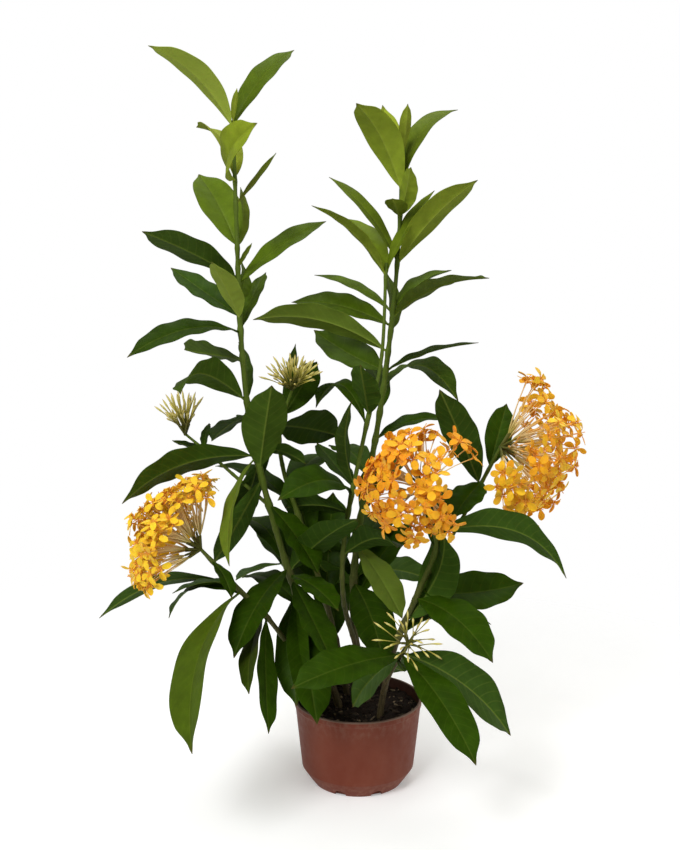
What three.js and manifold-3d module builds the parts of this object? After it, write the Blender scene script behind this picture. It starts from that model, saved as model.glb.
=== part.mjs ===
// A potted ixora: four leafy cuttings rooted in soil, three flower heads and three bud clusters.
// Millimetres, +Z up. The origin is the middle of the pot's underside.
import * as THREE from "three";
import { mergeVertices } from "three/addons/utils/BufferGeometryUtils.js";
import Module from "manifold-3d";

const wasm = await Module();
wasm.setup();

// Driving dimensions.
const GAP = 0.3; // clearance between two pieces that touch on the real plant

const POT_SIDES = 32;
const POT_HEIGHT = 80;
const POT_RIM_RADIUS = 60;
const POT_WALL = 1.6;
const POT_FLOOR = 2.4;
const POT_FOOT_RADIUS = 43;
const POT_SHOULDER_RADIUS = 53;
const POT_SHOULDER_HEIGHT = 15;
const POT_LIP_HEIGHT = 6;
const POT_LIP_OUT = 0.9;
const NOTCHES = 8;
const NOTCH_WIDTH = 11;
const NOTCH_HEIGHT = 6;
const NOTCH_INNER_RADIUS = 40;
const NOTCH_DEPTH = 30;
const NOTCH_SIDES = 8;

const SOIL_LEVEL = 71;
const SOIL_RINGS = 3;
const SOIL_BUMP = 1.8;
const CHIPS = 6;
const CHIP_FIELD = 33; // chips lie within this distance of the middle, along X and Y
const CHIP_LENGTH = [7, 14]; // shortest and longest
const CHIP_WIDTH = [3, 6];
const CHIP_THICKNESS = 3;
const CHIP_RISE = 0.3; // height of a chip's middle over the soil

const BLADE_THICKNESS = 0.75;
const STEM_SIDES = 5;
const STEM_STEP = 27; // length of stem between two rings

const FLORET_RADIUS = 18;
const FLORET_CUP = 2.2;
const FLORET_THICKNESS = 0.8;
const FLORET_TIERS = [1.03, 0.93]; // florets stand in two tiers, at these shares of the head's reach
const FLORET_SCATTER = 4; // how much further out some florets stand than their tier
const TUBE_RADIUS = 0.75;
const HUB_RADIUS = 4.5;
const BUD_RADIUS = 1.15;
const BUD_STALK_RADIUS = 0.7;
const BUD_HUB_RADIUS = 3;
const BUD_SHORTEST = 0.7; // length of the shortest bud, as a share of the longest
const BUD_SHOULDER = 0.8; // where a bud is widest, as a share of its length
const GOLDEN_ANGLE = Math.PI * (3 - Math.sqrt(5));
// Corners of one petal, as radius and angle from the petal's middle; the first is the notch before it.
const PETAL_OUTLINE = [[3.8, -45], [13.5, -28], [FLORET_RADIUS, 0], [13.5, 28]];

// Each shoot has a path, the radius at its two ends and its leaves.
// A leaf is [height of its node, azimuth, rise, length, width, arch, roll], in millimetres and degrees.
// Azimuth 0 points along +X and 90 along +Y. Arch lifts the middle of the blade off its chord.
const SHOOTS = {
  tall_left: {
    plant: "left",
    path: [[-18, 0, 44], [-20, 0, 78], [-54, 0, 171], [-81, 0, 262], [-99, 0, 346],
      [-106, 0, 428], [-108, 0, 510], [-110, 0, 611]],
    radius: [3.8, 1.5],
    leaves: [
      [609, -71, 61, 32, 8, 0, 35],
      [606, 40, 45, 96, 27, 9, 15],
      [604, -132, 34, 112, 31, 12, 5],
      [559, -69, 35, 82, 36, 15, 90],
      [559, 127, 37, 80, 34, 14, 15],
      [539, 0, 51, 57, 10, -1, -25],
      [501, 132, 49, 85, 39, 6, -15],
      [501, 91, 41, 80, 18, 4, 65],
      [483, -45, 50, 30, 7, 0, 5],
      [474, -139, 24, 108, 35, 3, 25],
      [469, 26, 32, 102, 26, 7, 20],
      [455, 90, 28, 60, 22, 3, 70],
      [440, 144, 26, 92, 28, 0, -15],
      [438, -111, 45, 76, 28, 2, -10],
      [428, 73, 35, 82, 21, 3, -15],
      [426, -140, -6, 118, 28, 15, -20],
      [402, 133, 0, 88, 40, 0, 35],
      [363, -119, 12, 103, 38, 26, 38],
      [363, 100, 33, 84, 15, 5, 40],
      [350, 126, -27, 76, 24, 4, 5],
      [319, 26, -20, 54, 24, 6, -30],
      [313, -152, -13, 132, 39, 19, 55],
      [313, -104, -45, 114, 26, 11, 50],
      [306, 121, -59, 84, 36, 0, -10],
      [300, -72, 62, 96, 42, 2, 0],
      [292, 165, -60, 98, 22, -6, 70],
      [290, 98, 20, 98, 25, 12, 0],
      [268, -30, -48, 80, 40, 4, 0],
      [211, 135, -24, 80, 24, 4, 10],
      [206, -113, -24, 120, 36, 10, 10],
      [206, 125, 8, 108, 32, 25, 0],
      [203, -41, 38, 106, 40, 7, -30],
      [200, -53, -11, 76, 30, 6, 0],
      [196, -62, -33, 98, 38, 1, -20],
      [183, -88, -47, 110, 36, 5, 30],
      [182, -78, -41, 132, 42, 0, -20],
      [165, 125, 2, 110, 36, 14, 0],
    ],
  },
  bud_left: {
    plant: "left",
    path: [[-84, 0, 268], [-109, 8, 288], [-132, 11, 308], [-159, 12, 331]],
    radius: [1.8, 1.2],
    leaves: [
      [316, -135, 21, 40, 10, 0, 25],
      [316, 87, 33, 36, 12, 2, -40],
    ],
  },
  low_left: {
    plant: "left",
    path: [[-24, -3, 88], [-54, -25, 128], [-82, -40, 172], [-107, -42, 199], [-141, -42, 237]],
    radius: [2.6, 1.6],
    leaves: [
      [226, -60, -30, 46, 18, 4, -20],
      [206, -172, -8, 54, 24, 5, 25],
      [199, 168, -15, 140, 23, 24, 40],
      [198, -104, -37, 162, 57, 21, 40],
      [193, 152, -22, 92, 22, 22, -10],
      [176, -97, -31, 88, 23, 7, 40],
      [174, -86, -35, 120, 26, -2, -50],
    ],
  },
  tall_right: {
    plant: "right",
    path: [[12, 15, 44], [8, 15, 80], [-4, 15, 150], [-1, 15, 229], [17, 15, 334],
      [27, 15, 408], [34, 15, 481], [40, 15, 601]],
    radius: [3.8, 1.5],
    leaves: [
      [584, -84, 62, 46, 12, 0, 20],
      [555, 37, 46, 94, 26, 18, 5],
      [550, -127, 47, 100, 33, 12, 15],
      [550, 106, 54, 96, 30, 0, 20],
      [528, -82, 42, 64, 20, 2, -55],
      [528, -103, 24, 40, 20, 0, -5],
      [488, 152, 47, 102, 18, 9, -15],
      [485, -38, 42, 112, 32, 8, -20],
      [446, 20, 30, 66, 34, 6, 0],
      [442, 148, 20, 90, 18, 7, -10],
      [438, -34, 22, 105, 40, 10, -10],
      [430, 156, 10, 102, 34, 9, -25],
      [425, 92, 36, 84, 28, 4, 60],
      [406, -163, 15, 130, 32, 19, 45],
      [389, -33, 19, 99, 24, 5, -10],
      [389, 149, 23, 84, 42, -4, -25],
      [373, 35, -13, 92, 36, 29, -20],
      [350, 102, 26, 98, 32, 10, 30],
      [325, 27, 8, 84, 26, 9, 5],
      [290, 108, 4, 102, 34, 10, 0],
      [250, 62, 20, 108, 36, 18, 0],
      [225, -49, -42, 84, 32, 4, 5],
      [205, 66, 10, 112, 40, 18, 0],
      [193, 39, -13, 104, 34, 12, -50],
      [188, -66, -42, 88, 42, 10, 0],
      [165, 40, 42, 104, 40, 8, 0],
      [108, 54, -23, 84, 38, 3, -45],
    ],
  },
  short_right: {
    plant: "right",
    path: [[-2, 14, 125], [-14, -2, 180], [-12, -8, 245], [6, -8, 339], [20, -3, 402],
      [24, 0, 488]],
    radius: [2.6, 1.4],
    leaves: [
      [477, -148, 39, 98, 24, 8, 0],
      [477, 24, 57, 88, 22, 5, 0],
      [475, 124, 37, 84, 32, 9, 5],
      [352, -100, 47, 72, 30, 0, -25],
      [343, 128, 4, 76, 24, 31, -5],
      [288, -93, 68, 90, 30, 8, 70],
      [286, 121, 24, 72, 30, 0, 15],
      [278, -131, 8, 98, 38, 19, -25],
      [262, 133, -8, 90, 32, 6, 45],
      [221, -54, 18, 84, 34, 14, -40],
    ],
  },
  low_right: {
    plant: "front",
    path: [[20, -24, 44], [21, -24, 80], [34, -27, 142], [54, -34, 195], [68, -48, 240],
      [62, -62, 268], [54, -74, 300]],
    radius: [3.2, 1.6],
    leaves: [
      [257, -44, -5, 139, 44, 28, -55],
      [235, 80, 20, 104, 34, 14, 0],
      [196, 13, 0, 100, 44, -9, 35],
      [188, -44, -23, 96, 44, 14, 12],
      [164, -51, 62, 106, 44, 16, -90],
      [150, 20, 0, 94, 36, 20, 0],
    ],
  },
  head_right: {
    plant: "front",
    path: [[58, -36, 205], [75, -20, 227], [93, -8, 253], [129, 0, 321]],
    radius: [2.0, 1.5],
    leaves: [
      [302, 66, 46, 72, 26, 0, 30],
      [290, -124, -24, 58, 36, 3, 0],
      [286, -134, 58, 113, 34, 2, 20],
    ],
  },
  front: {
    plant: "front",
    path: [[22, -27, 95], [28, -45, 120], [43, -75, 161]],
    radius: [2.2, 1.5],
    leaves: [
      [149, -38, -23, 121, 54, 14, -75],
      [146, -141, 0, 122, 42, 7, -20],
      [146, -58, -29, 125, 40, 10, 0],
      [146, -136, -27, 68, 40, 7, 85],
      [140, -83, 1, 30, 9, 0, -30],
    ],
  },
  middle: {
    plant: "back",
    path: [[-10, 32, 44], [-12, 32, 80], [-31, 30, 166], [-55, 30, 245], [-70, 30, 293],
      [-73, 28, 332], [-61, 22, 371]],
    radius: [3.4, 1.4],
    leaves: [
      [345, 78, 50, 80, 10, 0, 0],
      [345, 44, 47, 64, 28, 2, 60],
      [336, 53, -15, 94, 45, 3, -50],
      [322, 130, 10, 70, 24, 8, 0],
      [272, 72, 10, 96, 34, 8, 0],
      [250, 157, 24, 96, 34, 14, 0],
      [235, 42, -38, 66, 38, 0, -15],
      [215, 104, 20, 110, 36, 18, 0],
      [210, 47, -46, 90, 38, 0, -20],
      [165, 84, 54, 112, 42, 4, 0],
      [165, 140, 30, 108, 40, 6, 0],
      [125, 100, 58, 108, 42, 6, 0],
      [108, 126, -20, 84, 38, 3, 45],
    ],
  },
};

// A flower head sits on the end of its shoot: the way it faces, the distance from hub to florets,
// the angle they cover, how many would fill it, and any cone left bare of them.
const BLOOMS = {
  left: {
    shoot: "low_left", facing: [-0.86, 0, 0.54], reach: 64, spread: 70, count: 21, series: 3,
    bare: [[0.3, -0.95, 0.1], 52],
  },
  middle: {
    shoot: "low_right", facing: [-0.1, -0.78, 0.62], reach: 52, spread: 92, count: 22, series: 11,
    bare: [[0.85, -0.5, 0.2], 40],
  },
  right: {
    shoot: "head_right", facing: [0.9, -0.38, 0.02], reach: 70, spread: 88, count: 22, series: 29,
    bare: [[-0.2, -0.45, 0.85], 38],
  },
};

// A bud cluster sits on the end of its shoot: the way it faces, the length of its buds, the angle
// they cover and how many there are.
const BUD_CLUSTERS = {
  left: { shoot: "bud_left", facing: [-0.15, -0.1, 1], reach: 42, spread: 46, count: 15, series: 5 },
  middle: { shoot: "middle", facing: [0, -0.2, 1], reach: 36, spread: 64, count: 15, series: 17 },
  front: { shoot: "front", facing: [0, -0.7, 0.7], reach: 36, spread: 96, count: 17, series: 23 },
};

// Where a blade is drawn, along its length: [longest leaf drawn so, fractions of its length].
const LEAF_STATIONS = [[60, [0.15, 0.55]], [94, [0.12, 0.45, 0.8]], [Infinity, [0.1, 0.33, 0.62, 0.87]]];
const PETIOLE_HALF_WIDTH = 1.1;
const FOLD = 0.16; // rise of a leaf's edge over its midrib, for each millimetre from it

const degrees = (angle) => (angle * Math.PI) / 180;
const vector = ([x, y, z]) => new THREE.Vector3(x, y, z);

// A repeatable number from 0 to 1 for item i of series k.
function chance(i, k) {
  const value = Math.sin(i * 12.9898 + k * 78.233) * 43758.5453;
  return value - Math.floor(value);
}

// Skins rings of points, and closes each end with a fan to its tip or to its ring's middle.
// crossed lists the strips whose quads are split along their other diagonal.
function loft(rings, { start, end, crossed = [] } = {}) {
  const sides = rings[0].length;
  const points = rings.flat();
  const index = [];
  const middle = (ring) => ring.reduce((sum, p) => sum.add(p), new THREE.Vector3()).divideScalar(sides);
  const last = (rings.length - 1) * sides;
  for (let r = 0; r < last; r += sides) {
    for (let j = 0; j < sides; j++) {
      const k = (j + 1) % sides;
      const [a, b, c, d] = [r + j, r + k, r + sides + k, r + sides + j];
      index.push(...(crossed.includes(j) ? [a, b, d, b, c, d] : [a, b, c, a, c, d]));
    }
  }
  const startTip = points.push(start ?? middle(rings[0])) - 1;
  const endTip = points.push(end ?? middle(rings.at(-1))) - 1;
  for (let j = 0; j < sides; j++) {
    const k = (j + 1) % sides;
    index.push(startTip, k, j, endTip, last + j, last + k);
  }
  return new THREE.BufferGeometry().setFromPoints(points).setIndex(index);
}

// A closed geometry as a solid that can be joined and cut.
function solid(geometry) {
  const bare = geometry.clone();
  bare.deleteAttribute("normal");
  bare.deleteAttribute("uv");
  const merged = mergeVertices(bare, 1e-4);
  const made = new wasm.Manifold(new wasm.Mesh({
    numProp: 3,
    vertProperties: merged.attributes.position.array,
    triVerts: new Uint32Array(merged.index.array),
  }));
  if (made.volume() < 0) throw new Error("a solid is inside out");
  return made;
}

const join = (solids) => solids.reduce((sum, next) => sum.add(next));

function geometryOf(manifold) {
  const { vertProperties, triVerts } = manifold.getMesh();
  const geometry = new THREE.BufferGeometry();
  geometry.setAttribute("position", new THREE.BufferAttribute(vertProperties, 3));
  geometry.setIndex(new THREE.BufferAttribute(triVerts, 1));
  return geometry;
}

function piece(name, manifold, color, roughness) {
  const geometry = geometryOf(manifold).toNonIndexed();
  geometry.computeVertexNormals();
  const mesh = new THREE.Mesh(geometry, new THREE.MeshStandardMaterial({ color, roughness, metalness: 0 }));
  mesh.name = name;
  return mesh;
}

// The pot: a turned wall and floor, with drain notches round its foot.
const INNER_TOP = POT_RIM_RADIUS - POT_LIP_OUT - POT_WALL;
const INNER_SHOULDER = POT_SHOULDER_RADIUS - POT_WALL;
const INNER_FOOT = POT_FOOT_RADIUS - POT_WALL;

function turned(profile) {
  const outline = profile.map(([radius, height]) => new THREE.Vector2(radius, height));
  return new THREE.LatheGeometry(outline, POT_SIDES).rotateX(Math.PI / 2);
}

function makePot() {
  const lipBottom = POT_HEIGHT - POT_LIP_HEIGHT;
  const wall = turned([
    [0, 0], [POT_FOOT_RADIUS, 0], [POT_SHOULDER_RADIUS, POT_SHOULDER_HEIGHT],
    [POT_RIM_RADIUS - POT_LIP_OUT, lipBottom], [POT_RIM_RADIUS, lipBottom + POT_LIP_OUT],
    [POT_RIM_RADIUS, POT_HEIGHT], [INNER_TOP, POT_HEIGHT], [INNER_SHOULDER, POT_SHOULDER_HEIGHT],
    [INNER_FOOT, POT_FLOOR], [0, POT_FLOOR],
  ]);
  let pot = solid(wall);
  for (let i = 0; i < NOTCHES; i++) {
    const notch = new THREE.CylinderGeometry(NOTCH_WIDTH / 2, NOTCH_WIDTH / 2, NOTCH_DEPTH, NOTCH_SIDES);
    notch.scale(1, 1, (2 * NOTCH_HEIGHT) / NOTCH_WIDTH);
    notch.rotateZ(Math.PI / 2);
    notch.translate(NOTCH_INNER_RADIUS + NOTCH_DEPTH / 2, 0, 0);
    notch.rotateZ(degrees(((i + 0.5) * 360) / NOTCHES));
    pot = pot.subtract(solid(notch));
  }
  return pot;
}

// The soil: a body that fills the pot to just under its lip, lumpy on top, with bark chips in it.
function soilHeight(x, y) {
  const swell = Math.sin(x * 0.16 + 1) * Math.cos(y * 0.19);
  const ripple = 0.5 * Math.sin(x * 0.43 - y * 0.37);
  return SOIL_LEVEL + SOIL_BUMP * (swell + ripple);
}

function makeSoil() {
  const level = SOIL_LEVEL - POT_SHOULDER_HEIGHT;
  const slope = (INNER_TOP - INNER_SHOULDER) / (POT_HEIGHT - POT_SHOULDER_HEIGHT);
  const topRadius = INNER_SHOULDER + slope * level - GAP;
  const rings = Array.from({ length: SOIL_RINGS }, (_, i) => {
    return [topRadius * (1 - (i + 1) / SOIL_RINGS), SOIL_LEVEL];
  });
  const body = turned([
    [0, POT_FLOOR + GAP], [INNER_FOOT - GAP, POT_FLOOR + GAP], [INNER_SHOULDER - GAP, POT_SHOULDER_HEIGHT],
    [topRadius, SOIL_LEVEL], ...rings,
  ]);
  const place = body.getAttribute("position");
  for (let i = 0; i < place.count; i++) {
    const [x, y, z] = [place.getX(i), place.getY(i), place.getZ(i)];
    const inside = Math.hypot(x, y) < topRadius - 1;
    if (inside && z > SOIL_LEVEL - 1) place.setZ(i, soilHeight(x, y));
  }
  const chips = Array.from({ length: CHIPS }, (_, i) => {
    const [x, y] = [0, 1].map((axis) => (2 * chance(i, axis) - 1) * CHIP_FIELD);
    const length = THREE.MathUtils.lerp(...CHIP_LENGTH, chance(i, 2));
    const width = THREE.MathUtils.lerp(...CHIP_WIDTH, chance(i, 3));
    const chip = new THREE.BoxGeometry(length, width, CHIP_THICKNESS);
    chip.rotateX(chance(i, 4) - 0.5);
    chip.rotateZ(Math.PI * chance(i, 5));
    chip.translate(x, y, soilHeight(x, y) + CHIP_RISE);
    return solid(chip);
  });
  return join([solid(body), ...chips]);
}

const curveOf = (shoot) => new THREE.CatmullRomCurve3(shoot.path.map(vector), false, "catmullrom", 0.5);

// A shoot's stem, a tapered tube along its path. grow widens and lengthens it by a clearance.
function stem(shoot, grow = 0) {
  const curve = curveOf(shoot);
  const steps = Math.max(3, Math.round(curve.getLength() / STEM_STEP));
  const frames = curve.computeFrenetFrames(steps, false);
  const rings = [];
  for (let i = 0; i <= steps; i++) {
    const radius = THREE.MathUtils.lerp(...shoot.radius, i / steps) + grow;
    const overrun = i === 0 ? -grow : i === steps ? grow : 0;
    const centre = curve.getPointAt(i / steps).addScaledVector(frames.tangents[i], overrun);
    rings.push(Array.from({ length: STEM_SIDES }, (_, j) => {
      const turn = (2 * Math.PI * j) / STEM_SIDES;
      return centre.clone()
        .addScaledVector(frames.normals[i], radius * Math.cos(turn))
        .addScaledVector(frames.binormals[i], radius * Math.sin(turn));
    }));
  }
  return solid(loft(rings));
}

// The point of a shoot's path at a height.
function nodeAt(curve, height) {
  let [low, high] = [0, 1];
  for (let i = 0; i < 30; i++) {
    const mid = (low + high) / 2;
    if (curve.getPoint(mid).z < height) low = mid;
    else high = mid;
  }
  return curve.getPoint(low);
}

// Half the width of a blade of width 1 at fraction s of its length: a thin stalk, a full middle and a
// drawn-out tip.
function halfWidth(s) {
  const t = Math.max(0, (s - 0.04) / 0.96);
  const taper = 1 - 0.35 * THREE.MathUtils.smoothstep(s, 0.8, 1);
  return 0.5 * Math.sin(Math.PI * t ** 1.1) ** 0.65 * taper;
}

function leaf(base, [, azimuth, rise, length, width, arch, roll]) {
  const [turn, lift] = [degrees(azimuth), degrees(rise)];
  const chord = vector([Math.cos(lift) * Math.cos(turn), Math.cos(lift) * Math.sin(turn), Math.sin(lift)]);
  const side = vector([-Math.sin(turn), Math.cos(turn), 0]).applyAxisAngle(chord, degrees(roll));
  const up = chord.clone().cross(side);
  const midrib = (s) => base.clone()
    .addScaledVector(chord, length * s)
    .addScaledVector(up, 4 * arch * s * (1 - s));
  const [, stations] = LEAF_STATIONS.find(([longest]) => length <= longest);
  const rings = stations.map((s) => {
    const along = chord.clone().multiplyScalar(length).addScaledVector(up, 4 * arch * (1 - 2 * s));
    const face = along.normalize().cross(side);
    const half = Math.max(width * halfWidth(s), Math.min(width / 6, PETIOLE_HALF_WIDTH));
    const thick = BLADE_THICKNESS / 2;
    return [[half, thick], [0, thick], [-half, thick], [-half, -thick], [0, -thick], [half, -thick]].map(
      ([across, over]) => midrib(s)
        .addScaledVector(side, across)
        .addScaledVector(face, over + FOLD * Math.abs(across)),
    );
  });
  return solid(loft(rings, { start: base, end: midrib(1), crossed: [1, 4] }));
}

function makeLeafyStem(plant) {
  const shoots = Object.values(SHOOTS).filter((shoot) => shoot.plant === plant);
  const leaves = shoots.flatMap((shoot) => {
    const curve = curveOf(shoot);
    return shoot.leaves.map((row) => leaf(nodeAt(curve, row[0]), row));
  });
  return join([...shoots.map((shoot) => stem(shoot)), ...leaves]);
}

// The turn that takes +Z to a direction.
function turnTo(direction) {
  return new THREE.Quaternion().setFromUnitVectors(new THREE.Vector3(0, 0, 1), direction);
}

// Directions spread evenly over a cap about the way a head faces, with a slight scatter, less those in
// its bare part, a cone given by its middle and its half angle.
function fan({ facing, spread, count, series, bare: [gap, angle] = [facing, 0] }) {
  const aim = turnTo(vector(facing).normalize());
  return Array.from({ length: count }, (_, i) => {
    const fall = 1 - ((1 - Math.cos(degrees(spread))) * (i + 0.35)) / count;
    const tilt = Math.acos(fall) + 0.08 * (chance(i, series) - 0.5);
    const turn = i * GOLDEN_ANGLE + 0.2 * (chance(i, series + 1) - 0.5);
    return vector([Math.sin(tilt) * Math.cos(turn), Math.sin(tilt) * Math.sin(turn), Math.cos(tilt)])
      .applyQuaternion(aim);
  }).filter((direction) => direction.angleTo(vector(gap)) >= degrees(angle));
}

// Turns a geometry that points up +Z from the origin to a direction, and moves it to a place.
function aimed(geometry, place, direction, spin) {
  return geometry.rotateZ(spin).applyQuaternion(turnTo(direction)).translate(...place);
}

function ringOf(radius, sides, height) {
  return Array.from({ length: sides }, (_, j) => {
    const turn = (2 * Math.PI * (j - 0.5)) / sides;
    return vector([radius * Math.cos(turn), radius * Math.sin(turn), height]);
  });
}

// A floret: a four-sided tube that rises from the hub and opens, at height reach, into four petals
// in a shallow cup.
function floret(reach) {
  const neck = reach - FLORET_THICKNESS - FLORET_CUP;
  const outline = (height) => [0, 90, 180, 270].flatMap((petal) =>
    PETAL_OUTLINE.map(([radius, angle]) => {
      const turn = degrees(petal + angle);
      return vector([radius * Math.cos(turn), radius * Math.sin(turn), height]);
    }));
  const points = [
    ...outline(reach - FLORET_THICKNESS), ...outline(reach),
    ...ringOf(TUBE_RADIUS, 4, neck), ...ringOf(TUBE_RADIUS, 4, 1), vector([0, 0, reach - FLORET_CUP]),
  ];
  const corners = PETAL_OUTLINE.length * 4;
  const [top, throat, root, middle] = [corners, 2 * corners, 2 * corners + 4, 2 * corners + 8];
  const index = [root, root + 3, root + 2, root, root + 2, root + 1];
  for (let j = 0; j < corners; j++) {
    const k = (j + 1) % corners;
    const nearest = throat + (Math.floor((j + 2) / 4) % 4);
    index.push(j, k, top + k, j, top + k, top + j, middle, top + j, top + k, nearest, k, j);
  }
  for (let j = 0; j < 4; j++) {
    const k = (j + 1) % 4;
    index.push(root + j, root + k, throat + k, root + j, throat + k, throat + j);
    index.push(throat + j, throat + k, 4 * j + 2);
  }
  return new THREE.BufferGeometry().setFromPoints(points).setIndex(index);
}

function hubOf(head, radius) {
  return new THREE.IcosahedronGeometry(radius, 0).translate(...SHOOTS[head.shoot].path.at(-1));
}

function makeBloom(head) {
  const hub = SHOOTS[head.shoot].path.at(-1);
  const florets = fan(head).map((direction, i) => {
    const reach = head.reach * FLORET_TIERS[i % 2] + FLORET_SCATTER * chance(i, head.series + 2);
    return solid(aimed(floret(reach), hub, direction, Math.PI * chance(i, head.series + 3)));
  });
  return join([solid(hubOf(head, HUB_RADIUS)), ...florets]).subtract(stem(SHOOTS[head.shoot], GAP));
}

function makeBuds(head) {
  const hub = SHOOTS[head.shoot].path.at(-1);
  const buds = fan(head).map((direction, i) => {
    const length = head.reach * THREE.MathUtils.lerp(BUD_SHORTEST, 1, chance(i, head.series + 2));
    const rings = [ringOf(BUD_STALK_RADIUS, 3, 1), ringOf(BUD_RADIUS, 3, BUD_SHOULDER * length)];
    const bud = loft(rings, { end: vector([0, 0, length]) });
    return solid(aimed(bud, hub, direction, chance(i, head.series + 3)));
  });
  return join([solid(hubOf(head, BUD_HUB_RADIUS)), ...buds]).subtract(stem(SHOOTS[head.shoot], GAP));
}

const plant = new THREE.Group();
const rooted = ["tall_left", "tall_right", "low_right", "middle"];
const soil = rooted.reduce((body, name) => body.subtract(stem(SHOOTS[name], GAP)), makeSoil());
plant.add(piece("pot", makePot(), "#74402f", 0.6));
plant.add(piece("soil", soil, "#2b211b", 0.95));
for (const side of ["left", "right", "front", "back"]) {
  plant.add(piece(`leafy_stem_${side}`, makeLeafyStem(side), "#4a6a25", 0.45));
}
for (const [side, head] of Object.entries(BLOOMS)) {
  plant.add(piece(`bloom_${side}`, makeBloom(head), side === "left" ? "#f5b428" : "#ee9a1c", 0.6));
}
for (const [side, head] of Object.entries(BUD_CLUSTERS)) {
  plant.add(piece(`buds_${side}`, makeBuds(head), "#c9c882", 0.6));
}

export default plant;
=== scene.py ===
"""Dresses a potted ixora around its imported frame: leaves, stems, flower heads, buds, soil and pot."""

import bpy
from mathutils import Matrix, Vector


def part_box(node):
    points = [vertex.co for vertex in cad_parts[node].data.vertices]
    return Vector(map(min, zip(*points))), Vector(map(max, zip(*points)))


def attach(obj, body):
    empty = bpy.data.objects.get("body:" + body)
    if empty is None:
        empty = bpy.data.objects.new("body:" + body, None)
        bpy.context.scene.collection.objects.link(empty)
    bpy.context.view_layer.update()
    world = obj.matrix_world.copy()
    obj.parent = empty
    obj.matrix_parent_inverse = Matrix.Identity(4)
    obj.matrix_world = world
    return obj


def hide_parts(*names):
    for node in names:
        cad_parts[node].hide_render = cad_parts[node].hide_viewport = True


bl_info = {
    "name": "Potted Ixora",
    "version": (1, 0, 0),
    "blender": (4, 5, 0),
    "location": "View3D > Sidebar > Ixora",
    "description": "Builds the leaves, stems, flowers, soil and pot of a potted ixora",
    "category": "Add Mesh",
}

import math

import bpy
import numpy as np
from bpy.props import FloatProperty, FloatVectorProperty, IntProperty, PointerProperty
from mathutils import Euler, Quaternion, Vector, noise

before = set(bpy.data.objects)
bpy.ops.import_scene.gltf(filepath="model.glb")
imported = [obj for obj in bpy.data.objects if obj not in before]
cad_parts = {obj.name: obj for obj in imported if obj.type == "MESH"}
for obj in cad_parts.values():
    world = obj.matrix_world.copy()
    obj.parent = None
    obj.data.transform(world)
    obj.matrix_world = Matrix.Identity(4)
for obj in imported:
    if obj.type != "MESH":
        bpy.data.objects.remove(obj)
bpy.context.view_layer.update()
POT_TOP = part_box("pot")[1]

MM = 0.001
GOLDEN_ANGLE = math.pi * (3 - math.sqrt(5))
UP = Vector((0, 0, 1))

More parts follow.
